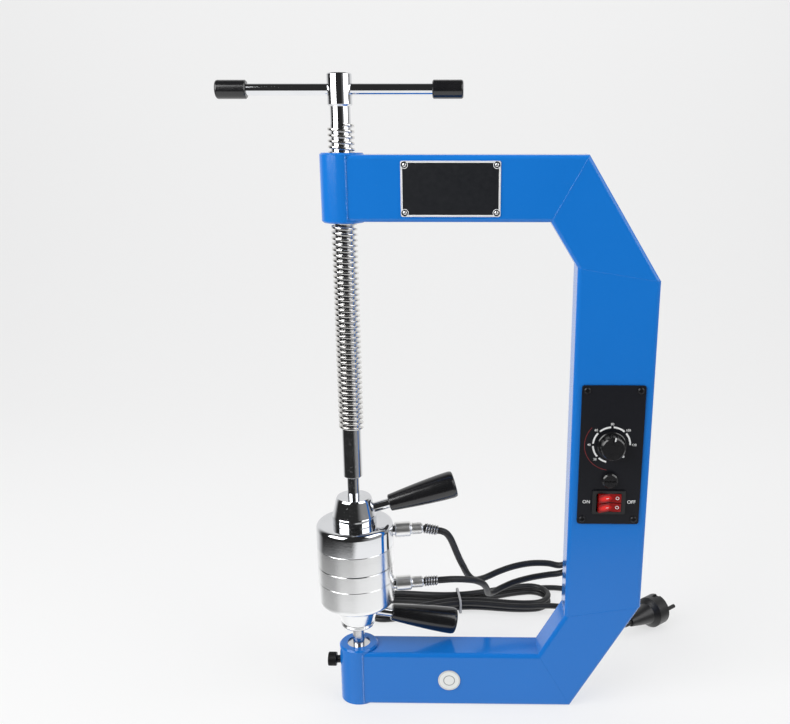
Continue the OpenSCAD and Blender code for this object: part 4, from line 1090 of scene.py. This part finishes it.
hank_count = 240
hank = [hank_point(hank_loops * i / hank_count) for i in range(hank_count + 1)]
hank_way = Vector((math.cos(hank_turn), math.sin(hank_turn), 0))
mains_route = [
    (250, 54.5, 122.03), (250, 61, 122.03), (250.5, 74, 114.5), (253, 86.5, 100.5), (258, 113, 70),
    (261, 130, 47), (263, 149, 27), (263, 169, 13), (263, 196, 6), (258, 213, 4), (246, 226, 3.8),
    (230, 231.3, 3.8), (212, 231.5, 3.8), hank[0] + cord_d * hank_way, hank[0],
]
plug_turn = math.radians(41)
plug_neck = Vector((306, 120.5, 18.7))
plug_way = Vector((math.cos(plug_turn), math.sin(plug_turn), 0))
tail_route = [
    hank[-1], hank[-1] + cord_d * hank_way, (218, 170.8, 11.2), (232, 169.5, 10.5), (242, 166, 9),
    (250, 159.5, 7), (256, 151, 5.6), (260.5, 141.5, 5), (264.5, 132, 5), (269.5, 123.5, 6),
    (276.5, 117, 9.5), (285.5, 113.5, 14.5), (294, 114, 17.8),
    plug_neck - cord_d * plug_way, plug_neck - 0.5 * plug_way,
]
mains = flowing(mains_route, route_steps)[:-1] + hank + flowing(tail_route, route_steps)[1:]

rubber_tie, s = finish("rubber_tie")
s.surface({
    "Base Color": s.tint(s.grain(300.0), (0.30, 0.30, 0.31, 1), (0.42, 0.42, 0.43, 1)),
    "Roughness": 0.5 + 0.15 * s.grain(900.0),
})
coat(rubber_tie, "hank_tie")
coat(moulded_black, "mains_plug")
mains_lead = piece("mains_lead", settle(cord_tube(mains, cord_d)), rubber_black, 60)
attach(mains_lead, "frame")
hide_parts("mains_cord", "mains_hank")
metres(mains)[0]
length_of(mains)
metres(mains)


# Studio
# A pale sweep under and behind the press, in a pale round bowl that only shows behind it from other sides.
# Bright metal mirrors a room that is pale below and behind and dark on the camera's side, where two
# wide soft boxes stand at the sides.
sweep_pale, s = finish("sweep_pale")
s.surface({
    "Base Color": (0.24, 0.241, 0.242, 1),
    "Roughness": 0.9 + 0.05 * s.grain(3.0),
    "Emission Color": (1.0, 1.0, 1.0, 1),
    "Emission Strength": 0.65,
})
sweep_r = 0.9
path = [(-1.8, 0.0), (sweep_r, 0.0)]
for k in range(1, 13):
    a = math.radians(90 * k / 12)
    path.append((sweep_r + sweep_r * math.sin(a), sweep_r - sweep_r * math.cos(a)))
path.append((2 * sweep_r, 3.2))
points = [(x, y, z) for y, z in path for x in (-3.0, 3.2)]
faces = [(2 * i, 2 * i + 1, 2 * i + 3, 2 * i + 2) for i in range(len(path) - 1)]
mesh = bpy.data.meshes.new("sweep")
mesh.from_pydata(points, [], faces)
sweep = piece("sweep", mesh, sweep_pale, 60)
sweep.visible_glossy = False

bowl_pale, s = finish("bowl_pale")
s.surface({
    "Base Color": (0.0, 0.0, 0.0, 1),
    "Roughness": 0.9 + 0.05 * s.grain(3.0),
    "Emission Color": (1.0, 1.0, 1.0, 1),
    "Emission Strength": 0.84,
})
bowl_r, bowl_low, bowl_high = 3600.0, -3.0, 3200.0
bowl = turned([(0, bowl_low), (bowl_r, bowl_low, 900), (bowl_r, bowl_high)], 96, 12)
bowl = piece("bowl", settle(bowl), bowl_pale, 60)
bowl.visible_diffuse = False
bowl.visible_glossy = False
bowl.visible_shadow = False

room = bpy.data.worlds.new("room")
scene.world = room
room.use_nodes = True
s = Socket(room.node_tree)
parts = s.node("ShaderNodeSeparateXYZ", None, {0: s.node("ShaderNodeTexCoord", out="Generated")}).socket.node
right, back, up = (Socket(room.node_tree, out) for out in parts.outputs)


def rise(value, low, high):
    """A soft step from 0 to 1 between two values."""
    inputs = {"Value": value, "From Min": low, "From Max": high}
    return s.node("ShaderNodeMapRange", {"interpolation_type": "SMOOTHSTEP"}, inputs)


bench_edge = up - 0.035 * rise(right, -0.1, 0.3)
bench_left = 0.55 + 0.45 * rise(right, -0.86, -0.5)
bench = 1.3 * (1.0 - rise(bench_edge, -0.465, -0.42)) * bench_left
wall = rise(back, 0.15, 0.75) * (1.0 - 0.92 * rise(up, 0.80, 0.92))
side = 0.34 * rise(right, 0.35, 0.85) * (1.0 - rise(up, 0.1, 0.5))
shade = 0.03 + 0.84 * s.math("MAXIMUM", s.math("MAXIMUM", bench, wall), side)
s.feed(room.node_tree.nodes["Background"].inputs["Color"], (1, 1, 1, 1))
s.feed(room.node_tree.nodes["Background"].inputs["Strength"], shade)

for name, at, aim, wide, high, power in (
    ("light_left", (-1.1, -0.90, 1.25), (0, 0, 0.9), 1.46, 1.5, 36.0),
    ("light_right", (1.36, -0.45, 1.25), (0.1, 0, 0.9), 1.42, 1.5, 18.0),
    ("light_top", (0.1, 0.1, 2.4), (0.1, 0.1, 0.0), 1.6, 1.2, 13.0),
):
    lamp = bpy.data.lights.new(name, "AREA")
    lamp.shape = "RECTANGLE"
    lamp.size = wide
    lamp.size_y = high
    lamp.energy = power
    lit = bpy.data.objects.new(name, lamp)
    lit.location = at
    lit.visible_camera = False
    lit.visible_glossy = name != "light_top"
    lit.rotation_euler = (Vector(aim) - Vector(at)).to_track_quat("-Z", "Y").to_euler()
    scene.collection.objects.link(lit)
scene.view_settings.view_transform = "Standard"
